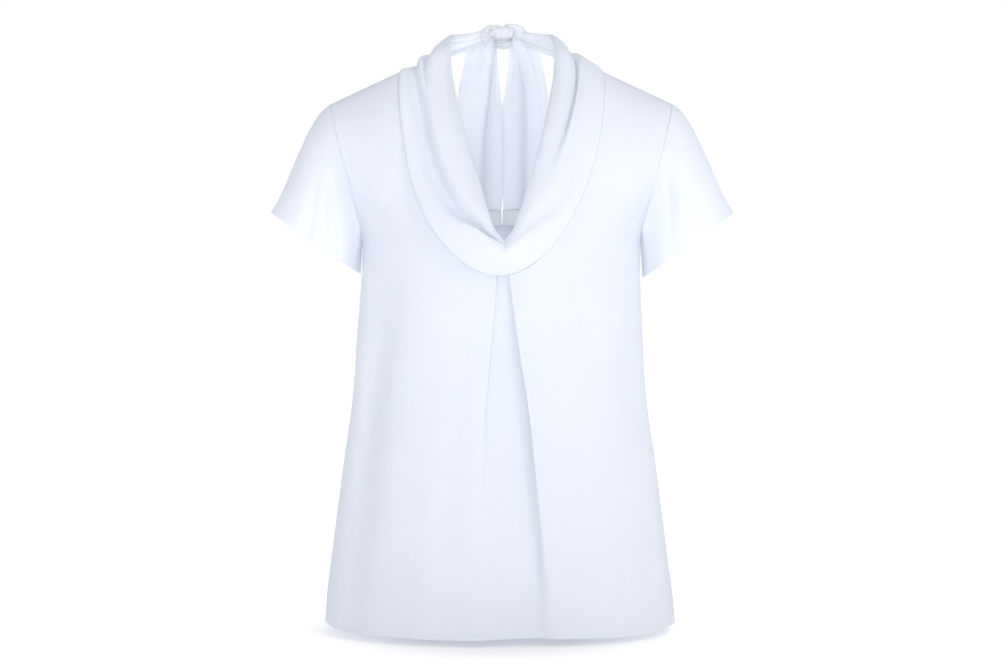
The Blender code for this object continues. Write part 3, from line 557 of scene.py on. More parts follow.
BACK_NECK_DEPTH = 152.0
BACK_NECK_STRAIGHT = 8.0
BACK_NECK_POWER = 2.3
SLIT_DEPTH = 18.0
SLIT_HALF_WIDTH = 1.4
SLIT_OPENS = 1.6  # how fast it opens above its foot
SLIT_SHARE = 0.107  # of the rows of the upper back, which go on down to a level under the arms
LEVEL_SHARE = -0.1
LEVEL_DEPTH = 206.0
LEVEL_ROWS = 14
BACK_UPPER_ROWS = 76
BACK_ARM = {
    "row": (-0.1, 0, 0.12, 0.2, 0.3, 0.5, 0.7, 0.85, 0.93, 1),
    "x": (154.6, 154.5, 156, 158.5, 162, 169, 177, 183.5, 187, 190),
    "depth": (206, 194, 178, 165, 150, 120, 88, 61, 48, 36),
}
BACK_CREASES = by_rows("depth x height rightwards leftwards", {
    "right side": [
        (205, -126, 0, 14, 20), (260, -131, -2.4, 15, 22), (330, -139, -3.2, 15, 22),
        (400, -147, -3, 15, 20), (480, -154, -2.2, 14, 18), (560, -160, -2, 14, 17),
        (615, -164, -2, 14, 16),
    ],
    "right fold": [
        (300, -70, 0, 20, 15), (360, -74, 1.2, 20, 15), (430, -80, 2.4, 20, 16), (500, -87, 3.6, 20, 17),
        (560, -93, 4.4, 20, 18), (615, -98, 5, 20, 18),
    ],
    "middle": [
        (200, 6, 0, 18, 14), (260, 8, -1.6, 20, 15), (330, 11, -3.4, 22, 16), (410, 13, -3.8, 24, 18),
        (500, 14, -3.4, 26, 20), (580, 15, -3, 28, 22), (615, 15, -3, 28, 22),
    ],
    "left fold": [
        (340, 88, 0, 17, 18), (400, 91, 1.4, 18, 19), (460, 95, 2.6, 19, 20), (530, 100, 3.4, 20, 20),
        (615, 106, 4, 20, 20),
    ],
    "left side": [
        (205, 128, 0, 18, 14), (250, 132, -1.6, 19, 14), (320, 140, -2.8, 20, 14),
        (400, 148, -2.6, 19, 14), (480, 155, -2.6, 18, 13), (560, 161, -2, 17, 13), (615, 166, -2, 16, 13),
    ],
})
BACK_DRAGS = by_rows("x depth height above below", {
    "right arm": [
        (-170, 122, 0, 8, 12), (-160, 132, -1.4, 9, 13), (-146, 144, -2.2, 10, 15),
        (-130, 156, -1.8, 12, 17), (-112, 168, -1, 13, 19), (-90, 178, 0, 14, 20),
    ],
    "left arm": [
        (96, 184, 0, 14, 18), (116, 173, -1.1, 13, 17), (134, 161, -2, 11, 15), (148, 150, -2.3, 9, 13),
        (160, 137, -1.5, 9, 12), (170, 124, 0, 8, 11),
    ],
})


def back_relief(x, z):
    """The relief of the back."""
    return relief("back", BACK_CREASES, BACK_DRAGS, x, z)


def back_scoop(shares):
    """The back's scooped neckline on the wearer's left, at shares of its length from the centre."""
    return neckline(NECK_HALF_WIDTH, BACK_NECK_DEPTH, BACK_NECK_STRAIGHT, BACK_NECK_POWER, shares)


def back_foot(rows):
    """The back's edge on the wearer's left: up the centre line, up the slit, then round the scoop."""
    x, z = back_scoop(np.clip((rows - SLIT_SHARE) / (1 - SLIT_SHARE), 0, 1))
    slit = np.clip(rows / SLIT_SHARE, 0, 1)
    open_width = SLIT_HALF_WIDTH * ease(slit * SLIT_OPENS)
    below = np.clip(rows / LEVEL_SHARE, 0, 1) * (LEVEL_DEPTH - BACK_NECK_DEPTH - SLIT_DEPTH)
    return open_width + x * (1 - SLIT_HALF_WIDTH / NECK_HALF_WIDTH), z - SLIT_DEPTH * (1 - slit) - below


def mirrored_relief(x, z):
    """The relief of the back for a panel that is mirrored afterwards."""
    return back_relief(-x, z)


level_rows = np.linspace(LEVEL_SHARE, 0, LEVEL_ROWS)[:-1]
back_rows = np.concatenate([level_rows, np.linspace(0, 1, BACK_UPPER_ROWS)])
back_left = upper_panel(1, back_foot, BACK_ARM, back_rows, back_relief)
back_right = upper_panel(1, back_foot, BACK_ARM, back_rows, mirrored_relief) * (-1, 1, 1)
back_lower = lower_panel(1, LEVEL_DEPTH, back_relief)
back_lower[-1] = np.concatenate([back_right[0][::-1], back_left[0][1:]])
back = cloth("back_cloth", [back_lower, back_left, back_right], body_crepe)
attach(back, "root")
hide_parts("back")
back_stitches = stitch_row("back_hem_stitches", back_lower, STITCH_ROW, sewing_thread)
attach(back_stitches, "root")

# --- back neck facings ---------------------------------------------------------------------------
# Two curved strips of crepe, stiffened with an interlining, that finish the back neckline and the slit
# inside. Each is sewn along the neckline as far as the shoulder seam, and turned in along that edge.

FACING_SEE_THROUGH = 0.15  # the interlining stops most of the light
FACING_END = 0.96
FACING_ROWS = 90
FACING_COLUMNS = 12
EDGE_RADIUS = 1.1
EDGE_POINTS = 160
EDGE_AROUND = 10


def facing(side):
    """Half the facing for one side: rows along the neckline, columns away from it, inside the back."""
    places = np.linspace(0, FACING_END, FACING_ROWS)
    x, z = back_scoop(places)
    away = unit(np.stack([np.gradient(z), -np.gradient(x)], axis=-1))
    away[0] = (0, -1)
    steps = np.linspace(0, SLIT_DEPTH, FACING_COLUMNS)
    x = x[:, None] + steps * away[:, :1]
    z = z[:, None] + steps * away[:, 1:]
    x = x + (SLIT_HALF_WIDTH * (1 - steps / SLIT_DEPTH) + SEAM_GAP) * (1 - places)[:, None]
    points = np.stack([side * x, body_y(x, z, 1) + back_relief(side * x, z), z], axis=-1)
    normal = body_normal(x, z, 1) * (side, 1, 1)
    return points - CLEAR * normal


def cord(path, radius, around):
    """A tube of a radius along a path: a circle of points round each point of it."""
    ahead = unit(np.gradient(path, axis=0))
    sideways = unit(np.cross(ahead, np.array([0.0, 1.0, 0.0])))
    third = np.cross(ahead, sideways)
    angle = np.linspace(0, 2 * math.pi, around, endpoint=False)
    circle = np.cos(angle)[:, None] * sideways[:, None] + np.sin(angle)[:, None] * third[:, None]
    return path[:, None] + radius * circle


def neck_edge(side):
    """The turned edge where the back meets a facing, along the neckline."""
    x, z = back_scoop(np.linspace(0, FACING_END, EDGE_POINTS))
    x = x + (SLIT_HALF_WIDTH + SEAM_GAP) * (1 - x / NECK_HALF_WIDTH)
    return cord(np.stack([side * x, body_y(x, z, 1) - CLEAR / 2, z], axis=-1), EDGE_RADIUS, EDGE_AROUND)


facing_crepe = crepe("interfaced_crepe", CREPE_COLOUR, CREPE_SHADE, FACING_SEE_THROUGH)
for word, side in (("left", 1), ("right", -1)):
    piece = cloth("back_facing_cloth_" + word, [facing(side)], facing_crepe)
    edge = cloth("back_neck_edge_" + word, [neck_edge(side)], body_crepe, wall=0, wrap=True)
    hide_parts("back_facing_" + word)
    for part in (piece, edge):
        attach(part, "root")

# --- sleeves -------------------------------------------------------------------------------------
# Short set-in sleeves, each one piece sewn into a tube. They stand off the arm and hang in soft folds,
# and their hems are turned and stitched like the body's.

# The outer tip of each sleeve's hem, and the hem's lowest point under the arm
SLEEVE = {
    "side": (-1, 1),
    "tip_x": (257.5, 259.5),
    "tip_z": (-157, -158),
    "under_x": (158.8, 158.8),
    "under_z": (-225.5, -230),
}
SLEEVE_HALF_DEPTH = 62.0
SLEEVE_CENTRE_Y = 5.0
SLEEVE_CAP = 31.0  # how far the sleeve follows the shoulder before it turns down
SLEEVE_ARRIVES = 0.28  # the share of its length over which it comes square to its hem
SLEEVE_HANGS = 0.3  # the same for its lines under the arm, at their upper ends
SLEEVE_CAP_SHARE = 0.4  # of a line's length, which the cap's part of it never passes
SLEEVE_DOWN = (0.1, 0, -1)  # how the lines under the arm leave and arrive
SLEEVE_GAP = {"over": 1.5, "under": 1.6}  # at the armhole, in seam gaps
UNDERARM_DEPTH = 120.0
ARMPIT_DEPTH = 194.0
SLEEVE_ROWS = 64
SLEEVE_HEM_ROWS = 12
SLEEVE_STITCH_ROW = -6  # of the tube's rows, up from its hem
ARMHOLE_POINTS = 90  # on each of the front and the back
ARMHOLE_STEP = 0.02  # of the way in towards the neckline, where the cloth's direction is taken
# Folds by the way down the sleeve: their turn round it from the shoulder, to the front in degrees
SLEEVE_FOLDS = by_rows("way turn height up down", {
    "front seam": [
        (0.08, 96, 0, 9, 8), (0.3, 100, -2.2, 10, 9), (0.6, 106, -3.2, 11, 10), (1, 112, -2.6, 12, 11),
    ],
    "front": [
        (0.25, 70, 0, 9, 9), (0.5, 74, -1.4, 9, 9), (0.75, 79, -2.6, 10, 10), (1, 82, -3, 10, 10),
    ],
    "front under": [
        (0.3, 140, 0, 10, 10), (0.6, 143, -1.2, 10, 10), (1, 146, -1.8, 10, 10),
    ],
    "back": [
        (0.1, -88, 0, 11, 10), (0.5, -92, -2.6, 11, 11), (1, -96, -3, 12, 12),
    ],
    "back under": [
        (0.3, -126, 0, 9, 9), (0.6, -130, -1.4, 9, 10), (1, -132, -2, 9, 10),
    ],
})
FOLD_SCALE = 1.5
FOLDS_OF_LEFT = 0.5  # the wearer's left sleeve is smoother
FOLDS_START = 0.25  # the folds come up over this share of the way from the armhole
FOLDS_LESS_BELOW = 0.5  # and are this much lower under the arm


def armhole():
    """The armhole for the wearer's left, as a closed line from the armpit up the front, over the shoulder
    and down the back, with the outward direction along the cloth at each point."""
    front_row = np.linspace(ARMPIT_ROW, 1, ARMHOLE_POINTS)
    back_row = np.linspace(1, 0, ARMHOLE_POINTS)[1:-1]
    points, out = [], []
    for row, arm, side in ((front_row, FRONT_ARM, -1), (back_row, BACK_ARM, 1)):
        neck_x, neck_z = front_foot(row)
        x, z = smooth(arm, "x", row), -smooth(arm, "depth", row)
        inner_x, inner_z = x - ARMHOLE_STEP * (x - neck_x), z - ARMHOLE_STEP * (z - neck_z)
        edge = np.stack([x, body_y(x, z, side), z], axis=-1)
        inner = np.stack([inner_x, body_y(inner_x, inner_z, side), inner_z], axis=-1)
        points.append(edge)
        out.append(unit(edge - inner))
    return np.concatenate(points), np.concatenate(out)


def sleeve_tube(side):
    """The sleeve from the armhole to the hem, which is an ellipse in a slanting plane. Each lengthwise
    line is a cubic curve that leaves along the cloth of the body and ends square to the hem."""
    points, out = armhole()
    count = len(points)
    top = int(np.argmax(points[:, 2]))
    legs = np.linalg.norm(np.diff(points, axis=0, append=points[:1]), axis=1)
    along = np.concatenate([[0], np.cumsum(legs)])
    before = math.pi * (1 - along[:count] / along[top])
    after = -math.pi * (along[:count] - along[top]) / (along[count] - along[top])
    angle = np.where(np.arange(count) <= top, before, after)
    tip, under = (
        np.array([smooth(SLEEVE, end + "_x", side), smooth(SLEEVE, end + "_z", side)])
        for end in ("tip", "under")
    )
    middle, half = (tip + under) / 2, (tip - under) / 2
    hem = np.stack(
        [
            middle[0] + half[0] * np.cos(angle),
            SLEEVE_CENTRE_Y - SLEEVE_HALF_DEPTH * np.sin(angle),
            middle[1] + half[1] * np.cos(angle),
        ],
        axis=1,
    )
    square = unit(np.array([-half[1], 0, half[0]]))
    square *= -np.sign(square[2])
    low = ease((-points[:, 2] - UNDERARM_DEPTH) / (ARMPIT_DEPTH - UNDERARM_DEPTH))[:, None]
    over_arm = (1 - low) * out * SLEEVE_GAP["over"] * SEAM_GAP
    under_arm = low * np.array([1.0, 0, 0]) * (WALL + SLEEVE_GAP["under"] * SEAM_GAP)
    start = points + over_arm + under_arm
    down = np.array(SLEEVE_DOWN)
    reach = np.linalg.norm(hem - start, axis=1, keepdims=True)
    cap = np.minimum(SLEEVE_CAP, SLEEVE_CAP_SHARE * reach)
    leave = (1 - low) * out * cap + low * down * SLEEVE_HANGS * reach
    arrive = ((1 - low) * square + low * down) * SLEEVE_ARRIVES * reach
    turned = 1 - np.linspace(0, (HEM_TURN + HEM_MARGIN) / np.median(reach), SLEEVE_HEM_ROWS)[::-1]
    way = np.concatenate([np.linspace(0, turned[0], SLEEVE_ROWS)[:-1], turned])[:, None, None]
    tube = (
        start * (1 - way) ** 3
        + 3 * (start + leave) * way * (1 - way) ** 2
        + 3 * (hem - arrive) * way**2 * (1 - way)
        + hem * way**3
    )
    around = np.roll(tube, -1, axis=1) - np.roll(tube, 1, axis=1)
    outward = unit(np.cross(around, np.gradient(tube, axis=0)))
    outward *= np.sign(np.sum(outward * (tube - tube.mean(axis=1, keepdims=True)), axis=-1, keepdims=True))
    turn = np.degrees(angle)[None, :]
    lift = crease(SLEEVE_FOLDS, way[..., 0], turn)
    lift = FOLD_SCALE * lift * ease(way[..., 0] / FOLDS_START) * (FOLDS_OF_LEFT if side > 0 else 1)
    lift = lift * (1 - FOLDS_LESS_BELOW * low[:, 0])
    lift = lift + hem_relief((1 - way[..., 0]) * reach[:, 0])
    return (tube + lift[..., None] * outward) * (side, 1, 1)


for word, side in (("left", 1), ("right", -1)):
    grid = sleeve_tube(side)
    piece = cloth("sleeve_cloth_" + word, [grid], body_crepe, wrap=True)
    sewn = stitch_row("sleeve_hem_stitches_" + word, grid, SLEEVE_STITCH_ROW, sewing_thread, closed=True)
    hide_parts("sleeve_" + word)
    for part in (piece, sewn):
        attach(part, "root")

# --- cowl collar ---------------------------------------------------------------------------------
# A wide strip of crepe on the bias, folded lengthwise and sewn to the front's neckline. It falls in folds
# to its free edge, which is the V of the neck, and its ends run over the shoulders to the tie.

# By places from the centre front, at 0, over the shoulder, at 1, to the knot, at 2: the free edge, how far
# it leans over, how far the seam lies under, and the rounding, height and lean of the arch between them
COLLAR = {
    "place": (0, 0.07, 0.15, 0.3, 0.5, 0.7, 0.85, 1, 1.15, 1.3, 1.5, 1.75, 2),
    "edge_x": (0, 10.5, 17.5, 28.5, 43, 51, 57, 59.5, 59, 56, 47, 33, 21),
    "edge_y": (-126, -124, -118, -99, -73, -47, -20, 6, 24, 38, 52, 64, 69),
    "edge_z": (-193, -180, -161, -124, -74, -37, -4, 30, 41.5, 45, 47, 50, 54),
    "lean": (2.8, 2.9, 3, 3.2, 2.6, 2, 1.5, 1, 0.5, 0, 0.4, 0.8, 1),
    "underlap": (4, 4, 4, 3.5, 2.5, 1, -0.6, -0.6, 0, 0, 0, 0, 0),
    "arch": (10, 10.5, 11, 10, 8.5, 7, 4.5, 3, 3, 3, 2.5, 2, 2),
    "round": (1, 0.95, 0.85, 0.7, 0.6, 0.6, 0.6, 0.6, 0.6, 0.6, 0.6, 0.6, 0.6),
    "skew": (1.5, 1.5, 1.4, 1.2, 1, 1, 1, 1, 1, 1, 1, 1, 1),
    "tuck": (9, 10, 12, 13, 12, 11, 10, 9, 8, 7, 6, 5, 5),
}
# On the wearer's right the lower edge hangs free of the front, lifted off it and fallen past its seam
OVERHANG = {
    "place": (0, 0.08, 0.2, 0.35, 0.5, 0.7),
    "lift": (0, 6, 9.5, 10, 7, 0),
    "fall": (0, 2, 3, 3, 2, 0),
}
# The lower edge past the shoulder, round the nape
NAPE_EDGE = {
    "place": (1, 1.08, 1.18, 1.32, 1.5, 1.75, 2),
    "x": (113, 106, 97, 82, 64, 42, 21),
    "y": (5.6, 19, 32, 46, 58, 69, 74),
    "z": (1.7, 3, 6, 13, 20, 29, 38),
    "lean": (0, 0, 0, 0, 0.4, 0.8, 1),
}
# Folds of the collar: troughs at a share of its width from the seam, each with a steep side where one
# band of the cloth lies over the next
RIGHT_FOLDS = by_rows("place share height seamwards edgewards", {
    "long": [
        (0, 0.95, 0, 0.03, 0.12), (0.05, 0.86, -4.5, 0.03, 0.13), (0.1, 0.75, -8.5, 0.03, 0.15),
        (0.15, 0.66, -10, 0.035, 0.16), (0.2, 0.58, -10.5, 0.06, 0.15), (0.3, 0.46, -12, 0.12, 0.12),
        (0.5, 0.41, -13, 0.17, 0.1), (0.7, 0.39, -13, 0.18, 0.09), (0.85, 0.35, -11, 0.18, 0.09),
        (1, 0.28, -8, 0.16, 0.08), (1.3, 0.3, -2, 0.16, 0.1),
    ],
    "long, its nip": [
        (0, 0.95, 0, 0.02, 0.03), (0.05, 0.86, -2, 0.02, 0.03), (0.1, 0.75, -3, 0.02, 0.035),
        (0.15, 0.66, -3, 0.02, 0.04), (0.2, 0.58, -2, 0.025, 0.045), (0.26, 0.5, 0, 0.03, 0.05),
    ],
    "shoulder, its nip": [
        (0.82, 0.5, 0, 0.02, 0.04), (0.92, 0.5, -2.5, 0.02, 0.035), (1, 0.49, -3.5, 0.02, 0.03),
        (1.1, 0.47, -3.5, 0.02, 0.03), (1.2, 0.45, -2, 0.02, 0.03), (1.3, 0.45, 0, 0.02, 0.03),
    ],
    "shoulder": [
        (0.82, 0.5, 0, 0.04, 0.16), (0.92, 0.5, -3, 0.03, 0.16), (1, 0.49, -4.5, 0.025, 0.15),
        (1.1, 0.47, -4.5, 0.03, 0.14), (1.2, 0.45, -3, 0.05, 0.12), (1.3, 0.45, -1, 0.08, 0.12),
    ],
})
LEFT_FOLDS = by_rows("place share height seamwards edgewards", {
    "crisp, its nip": [
        (0.42, 0.733, 0, 0.03, 0.06), (0.5, 0.68, 0, 0.025, 0.05), (0.6, 0.62, -1.6, 0.02, 0.04),
        (0.7, 0.585, -3.4, 0.016, 0.035), (0.85, 0.54, -4.2, 0.016, 0.03), (1, 0.53, -4, 0.016, 0.03),
        (1.12, 0.5, -3, 0.02, 0.03), (1.25, 0.47, 0, 0.02, 0.03),
    ],
    "crisp": [
        (0.3, 0.78, 0, 0.12, 0.14), (0.4, 0.74, -2.4, 0.09, 0.15), (0.5, 0.68, -4.6, 0.06, 0.16),
        (0.6, 0.62, -6.4, 0.035, 0.17), (0.7, 0.585, -7.6, 0.025, 0.18), (0.85, 0.54, -7.6, 0.02, 0.2),
        (1, 0.53, -7, 0.02, 0.2), (1.12, 0.5, -5, 0.03, 0.18), (1.3, 0.46, -1.5, 0.08, 0.14),
    ],
    "low": [
        (0, 0.95, 0, 0.06, 0.12), (0.05, 0.86, -0.8, 0.07, 0.12), (0.1, 0.77, -2, 0.08, 0.13),
        (0.15, 0.69, -3.2, 0.1, 0.14), (0.2, 0.6, -4, 0.11, 0.15), (0.3, 0.42, -3.6, 0.12, 0.15),
        (0.42, 0.32, -2, 0.12, 0.14), (0.6, 0.26, 0, 0.1, 0.12),
    ],
})
# The turn inside the free edge, as corners: shares of the tuck back towards the seam, how far past the
# edge, and how far inside, in layers of cloth
TUCK = {"along": (0, 0, 0, 0.45, 1), "past_edge": (0, 0.6, 0.1, 0, 0), "inward": (0, 0.5, 1.2, 1.5, 1.5)}
TUCK_SOFT = 0.45
TUCK_STEPS = 13
FLAT_AT_SEAM = 0.1  # no folds within these shares of the width
FLAT_AT_EDGE = 0.06
COLLAR_END = 1.32
COLLAR_CROWDING = 1.15  # places lie closer towards the centre front, by this power
COLLAR_PLACES = 301
COLLAR_SHARES = 84
COLLAR_AIM = {"seam": 0.01, "edges": 0.02}  # either side of a place, where its direction is taken
ROLL_UNDER = 5  # columns from the seam out to the free lower edge


def collar_seam(share):
    """The collar's lower edge on the wearer's left: the front's own edge, moved out by a little more than
    the cloth's thickness and down over the front."""
    step = COLLAR_AIM["seam"]
    edge, ahead, behind = (
        np.stack([x, body_y(x, z, -1), z], axis=-1)
        for x, z in (front_foot(np.clip(share + shift, 0, 1)) for shift in (0, step, -step))
    )
    outward = body_normal(edge[..., 0], edge[..., 2], -1)
    away = unit(np.cross(outward, ahead - behind))
    away = away * np.sign(away[..., :1] - away[..., 2:])
    seam = edge + LOOSE * CLEAR * outward + smooth(COLLAR, "underlap", share)[..., None] * away
    return seam, outward, away


def collar_edges(place):
    """The collar's lower edge, free edge and seam at places from the centre front, below 0 on the right."""
    side, near = np.where(place >= 0, 1.0, -1.0), np.abs(place)
    nape = np.stack([smooth(NAPE_EDGE, c, near) for c in "xyz"], axis=-1)
    seam, outward, away = collar_seam(np.clip(near, 0, 1))
    right, past = (place < 0)[:, None], (near > 1)[:, None]
    lift = right * smooth(OVERHANG, "lift", near)[:, None] * outward
    fall = right * smooth(OVERHANG, "fall", near)[:, None] * away
    sewn = np.where(past, nape, seam - fall / 2)
    lower = np.where(past, nape, seam + lift + fall)
    free = np.stack([smooth(COLLAR, "edge_" + c, near) for c in "xyz"], axis=-1)
    for edge in (lower, sewn):
        edge[:, 0] = edge[:, 0] * side + np.where(near > 1, smooth(NAPE_EDGE, "lean", near), 0)
    free[:, 0] = free[:, 0] * side + smooth(COLLAR, "lean", near)
    return lower, free, sewn


def collar_surface(place, shares, gathers=None):
    """The collar as rows of places and columns of shares from its seam to its free edge. It arches off
    the straight line across, sinks into its folds, and turns inside at its free edge. Where there are
    gathers they are added, and the edges stay as they are."""
    near = np.abs(place)[:, None]
    lower, free, sewn = collar_edges(place)
    step = COLLAR_AIM["edges"]
    ahead, behind = collar_edges(place + step), collar_edges(place - step)
    along = unit(ahead[0] + ahead[1] - behind[0] - behind[1])
    across = unit(free - lower)
    outward = unit(np.cross(along, across))
    bow = np.sin(math.pi * shares ** smooth(COLLAR, "skew", near)).clip(0, 1)
    rise = smooth(COLLAR, "arch", near) * bow ** smooth(COLLAR, "round", near)
    ends = ease(shares / FLAT_AT_SEAM) * ease((1 - shares) / FLAT_AT_EDGE)
    left, right = crease(LEFT_FOLDS, near, shares), crease(RIGHT_FOLDS, near, shares)
    rise = rise + ends * np.where(place[:, None] >= 0, left, right)
    if gathers:
        rise = rise + ends * crease(gathers, near, shares)
    points = lower[:, None] + (free - lower)[:, None] * shares[:, None] + outward[:, None] * rise[..., None]
    if gathers:
        return points
    tuck = smooth(COLLAR, "tuck", near)[..., None]
    turn = [np.array(TUCK[name])[None, :, None] for name in ("along", "past_edge", "inward")]
    past_edge = turn[1] * CLEAR - turn[0] * tuck
    corners = free[:, None] + across[:, None] * past_edge - outward[:, None] * turn[2] * CLEAR
    legs = corners.shape[1] - 1
    turned = soft_line(corners, np.linspace(0, legs, TUCK_STEPS)[1:], np.full(legs - 1, TUCK_SOFT))
    rolled = sewn[:, None] + (lower - sewn)[:, None] * np.linspace(0, 1, ROLL_UNDER)[:-1, None]
    return np.concatenate([rolled, points, turned], axis=1)


steps = np.linspace(-1, 1, COLLAR_PLACES)
places = COLLAR_END * np.sign(steps) * np.abs(steps) ** COLLAR_CROWDING
collar_grid = collar_surface(places, np.linspace(0, 1, COLLAR_SHARES))
collar = cloth("cowl_collar_cloth", [collar_grid], body_crepe)
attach(collar, "root")
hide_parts("cowl_collar")

# --- tie bands -----------------------------------------------------------------------------------
# The collar's ends narrow into flat bands of the same strip. They cross the nape and go into the knot,
# which gathers them into creases.

BAND_START = 1.326
BAND_END = 1.965
BAND_ROWS = 60
BAND_COLUMNS = 41
BAND_CREASES = by_rows("place share height seamwards edgewards", {
    "low": [
        (1.33, 0.3, -0.5, 0.07, 0.12), (1.5, 0.34, -1.6, 0.07, 0.12), (1.7, 0.36, -2.4, 0.07, 0.12),
        (1.97, 0.4, -2.8, 0.08, 0.12),
    ],
    "high": [
        (1.36, 0.72, -0.4, 0.1, 0.06), (1.5, 0.7, -1.8, 0.1, 0.06), (1.65, 0.66, -1, 0.09, 0.06),
        (1.8, 0.66, -2, 0.08, 0.08), (1.97, 0.7, -2.6, 0.08, 0.08),
    ],
})

for word, side in (("left", 1), ("right", -1)):
    places = side * np.linspace(BAND_START, BAND_END, BAND_ROWS)
    grid = collar_surface(places, np.linspace(0, 1, BAND_COLUMNS), BAND_CREASES)
    piece = cloth("tie_band_cloth_" + word, [grid], body_crepe)
    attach(piece, "root")
    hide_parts("tie_band_" + word)

# --- tie knot ------------------------------------------------------------------------------------
# The bands cross in a flat knot: a roll of cloth from each side goes up and over into the middle, and a
# short pleated wrap holds them.

# Along each roll, its centre line and half its width and thickness: the two that cross, the wrap over
# them, the loop inside and the rim of cloth below it
KNOT_ROLLS = by_rows("way x y z half_wide half_thick", {
    "left": [
        (0, 25, 73, 45, 7.6, 4.5), (0.25, 21, 71, 50, 7.4, 5), (0.5, 15, 70, 54, 6.4, 5.4),
        (0.75, 8, 70, 54, 6, 5.4), (1, 2, 73, 50, 5, 4.6),
    ],
    "right": [
        (0, -23, 73, 43, 7.8, 4.5), (0.25, -18, 71, 48.5, 7, 5), (0.5, -12, 69.5, 53, 6.2, 5.4),
        (0.75, -5, 69.5, 53.5, 5.8, 5.4), (1, 1, 72, 49, 5, 4.6),
    ],
    "wrap": [
        (0, -1, 74, 55.5, 9, 2), (0.2, -0.5, 67, 55.5, 12, 2.4), (0.4, 0.4, 64, 52.5, 13, 2.6),
        (0.6, 1.2, 63.2, 48.5, 11.5, 2.6), (0.8, 1.6, 65.5, 45, 9, 2.2), (1, 1.8, 72, 45.5, 7, 1.6),
    ],
    "inside": [
        (0, -6.5, 79, 45, 6, 3.4), (0.25, -3.5, 80, 43.5, 8.5, 4.4), (0.5, 1.5, 80.4, 43, 9, 4.6),
        (0.75, 6, 80, 43.5, 8.5, 4.4), (1, 9, 79, 45, 6, 3.4),
    ],
    "rim": [
        (0, -8.5, 76, 43, 1.4, 1.6), (0.2, -6, 73, 38.5, 1.3, 1.4), (0.5, 1.4, 71.5, 36.4, 1.1, 1.3),
        (0.8, 8.6, 73, 38.5, 1.3, 1.4), (1, 11, 76, 43, 1.4, 1.6),
    ],
})
# The way in which each roll is wide
ROLL_WIDE = {
    "left": (0.45, 0, 1),
    "right": (-0.45, 0, 1),
    "wrap": (1.0, 0, 0),
    "inside": (0.0, 0, 1),
    "rim": (0.0, 0, 1),
}
KNOT_SEE_THROUGH = 0.32  # it is several layers thick
ROLL_STEPS = 48
ROLL_AROUND = 80
ROLL_ENDS = 8  # the power by which a roll closes: the higher, the blunter
ROLL_PLEATS = {"folds": (3, 10, 17, 26), "twist": (-7, 5, -9, 14), "height": (0.06, 0.09, 0.07, 0.04)}


def roll(table, flat_across):
    """A closed roll of cloth along a path, with rounded ends and a pleated surface. Its cross-section is
    an ellipse, wide along flat_across."""
    way = np.linspace(0, 1, ROLL_STEPS)
    path = np.stack([smooth(table, c, way) for c in "xyz"], axis=-1)
    tangent = unit(np.gradient(path, axis=0))
    wide = unit(flat_across - tangent * np.sum(tangent * flat_across, axis=-1, keepdims=True))
    thick = np.cross(tangent, wide)
    angle = np.linspace(0, 2 * math.pi, ROLL_AROUND, endpoint=False)
    closing = np.sqrt(np.clip(1 - np.abs(2 * way - 1) ** ROLL_ENDS, 0, 1))[:, None]
    pleats = np.ones_like(closing * angle)
    for folds, twist, height in zip(*ROLL_PLEATS.values()):
        pleats = pleats + height * closing * np.cos(folds * angle + twist * way[:, None])
    a = smooth(table, "half_wide", way)[:, None] * closing * pleats * np.cos(angle)
    b = smooth(table, "half_thick", way)[:, None] * closing * pleats * np.sin(angle)
    return path[:, None] + a[..., None] * wide[:, None] + b[..., None] * thick[:, None]


rolls = [roll(table, np.array(ROLL_WIDE[name])) for name, table in KNOT_ROLLS.items()]
knot_crepe = crepe("knotted_crepe", CREPE_COLOUR, CREPE_SHADE, KNOT_SEE_THROUGH)
knot = cloth("tie_knot_cloth", rolls, knot_crepe, wall=0, wrap=True)
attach(knot, "root")
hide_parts("tie_knot")

# --- tie ends ------------------------------------------------------------------------------------
# The two ends of the tie hang from the knot over the outside of the back. Each is folded lengthwise, with
# its inner part over its outer part, and narrowly hemmed.

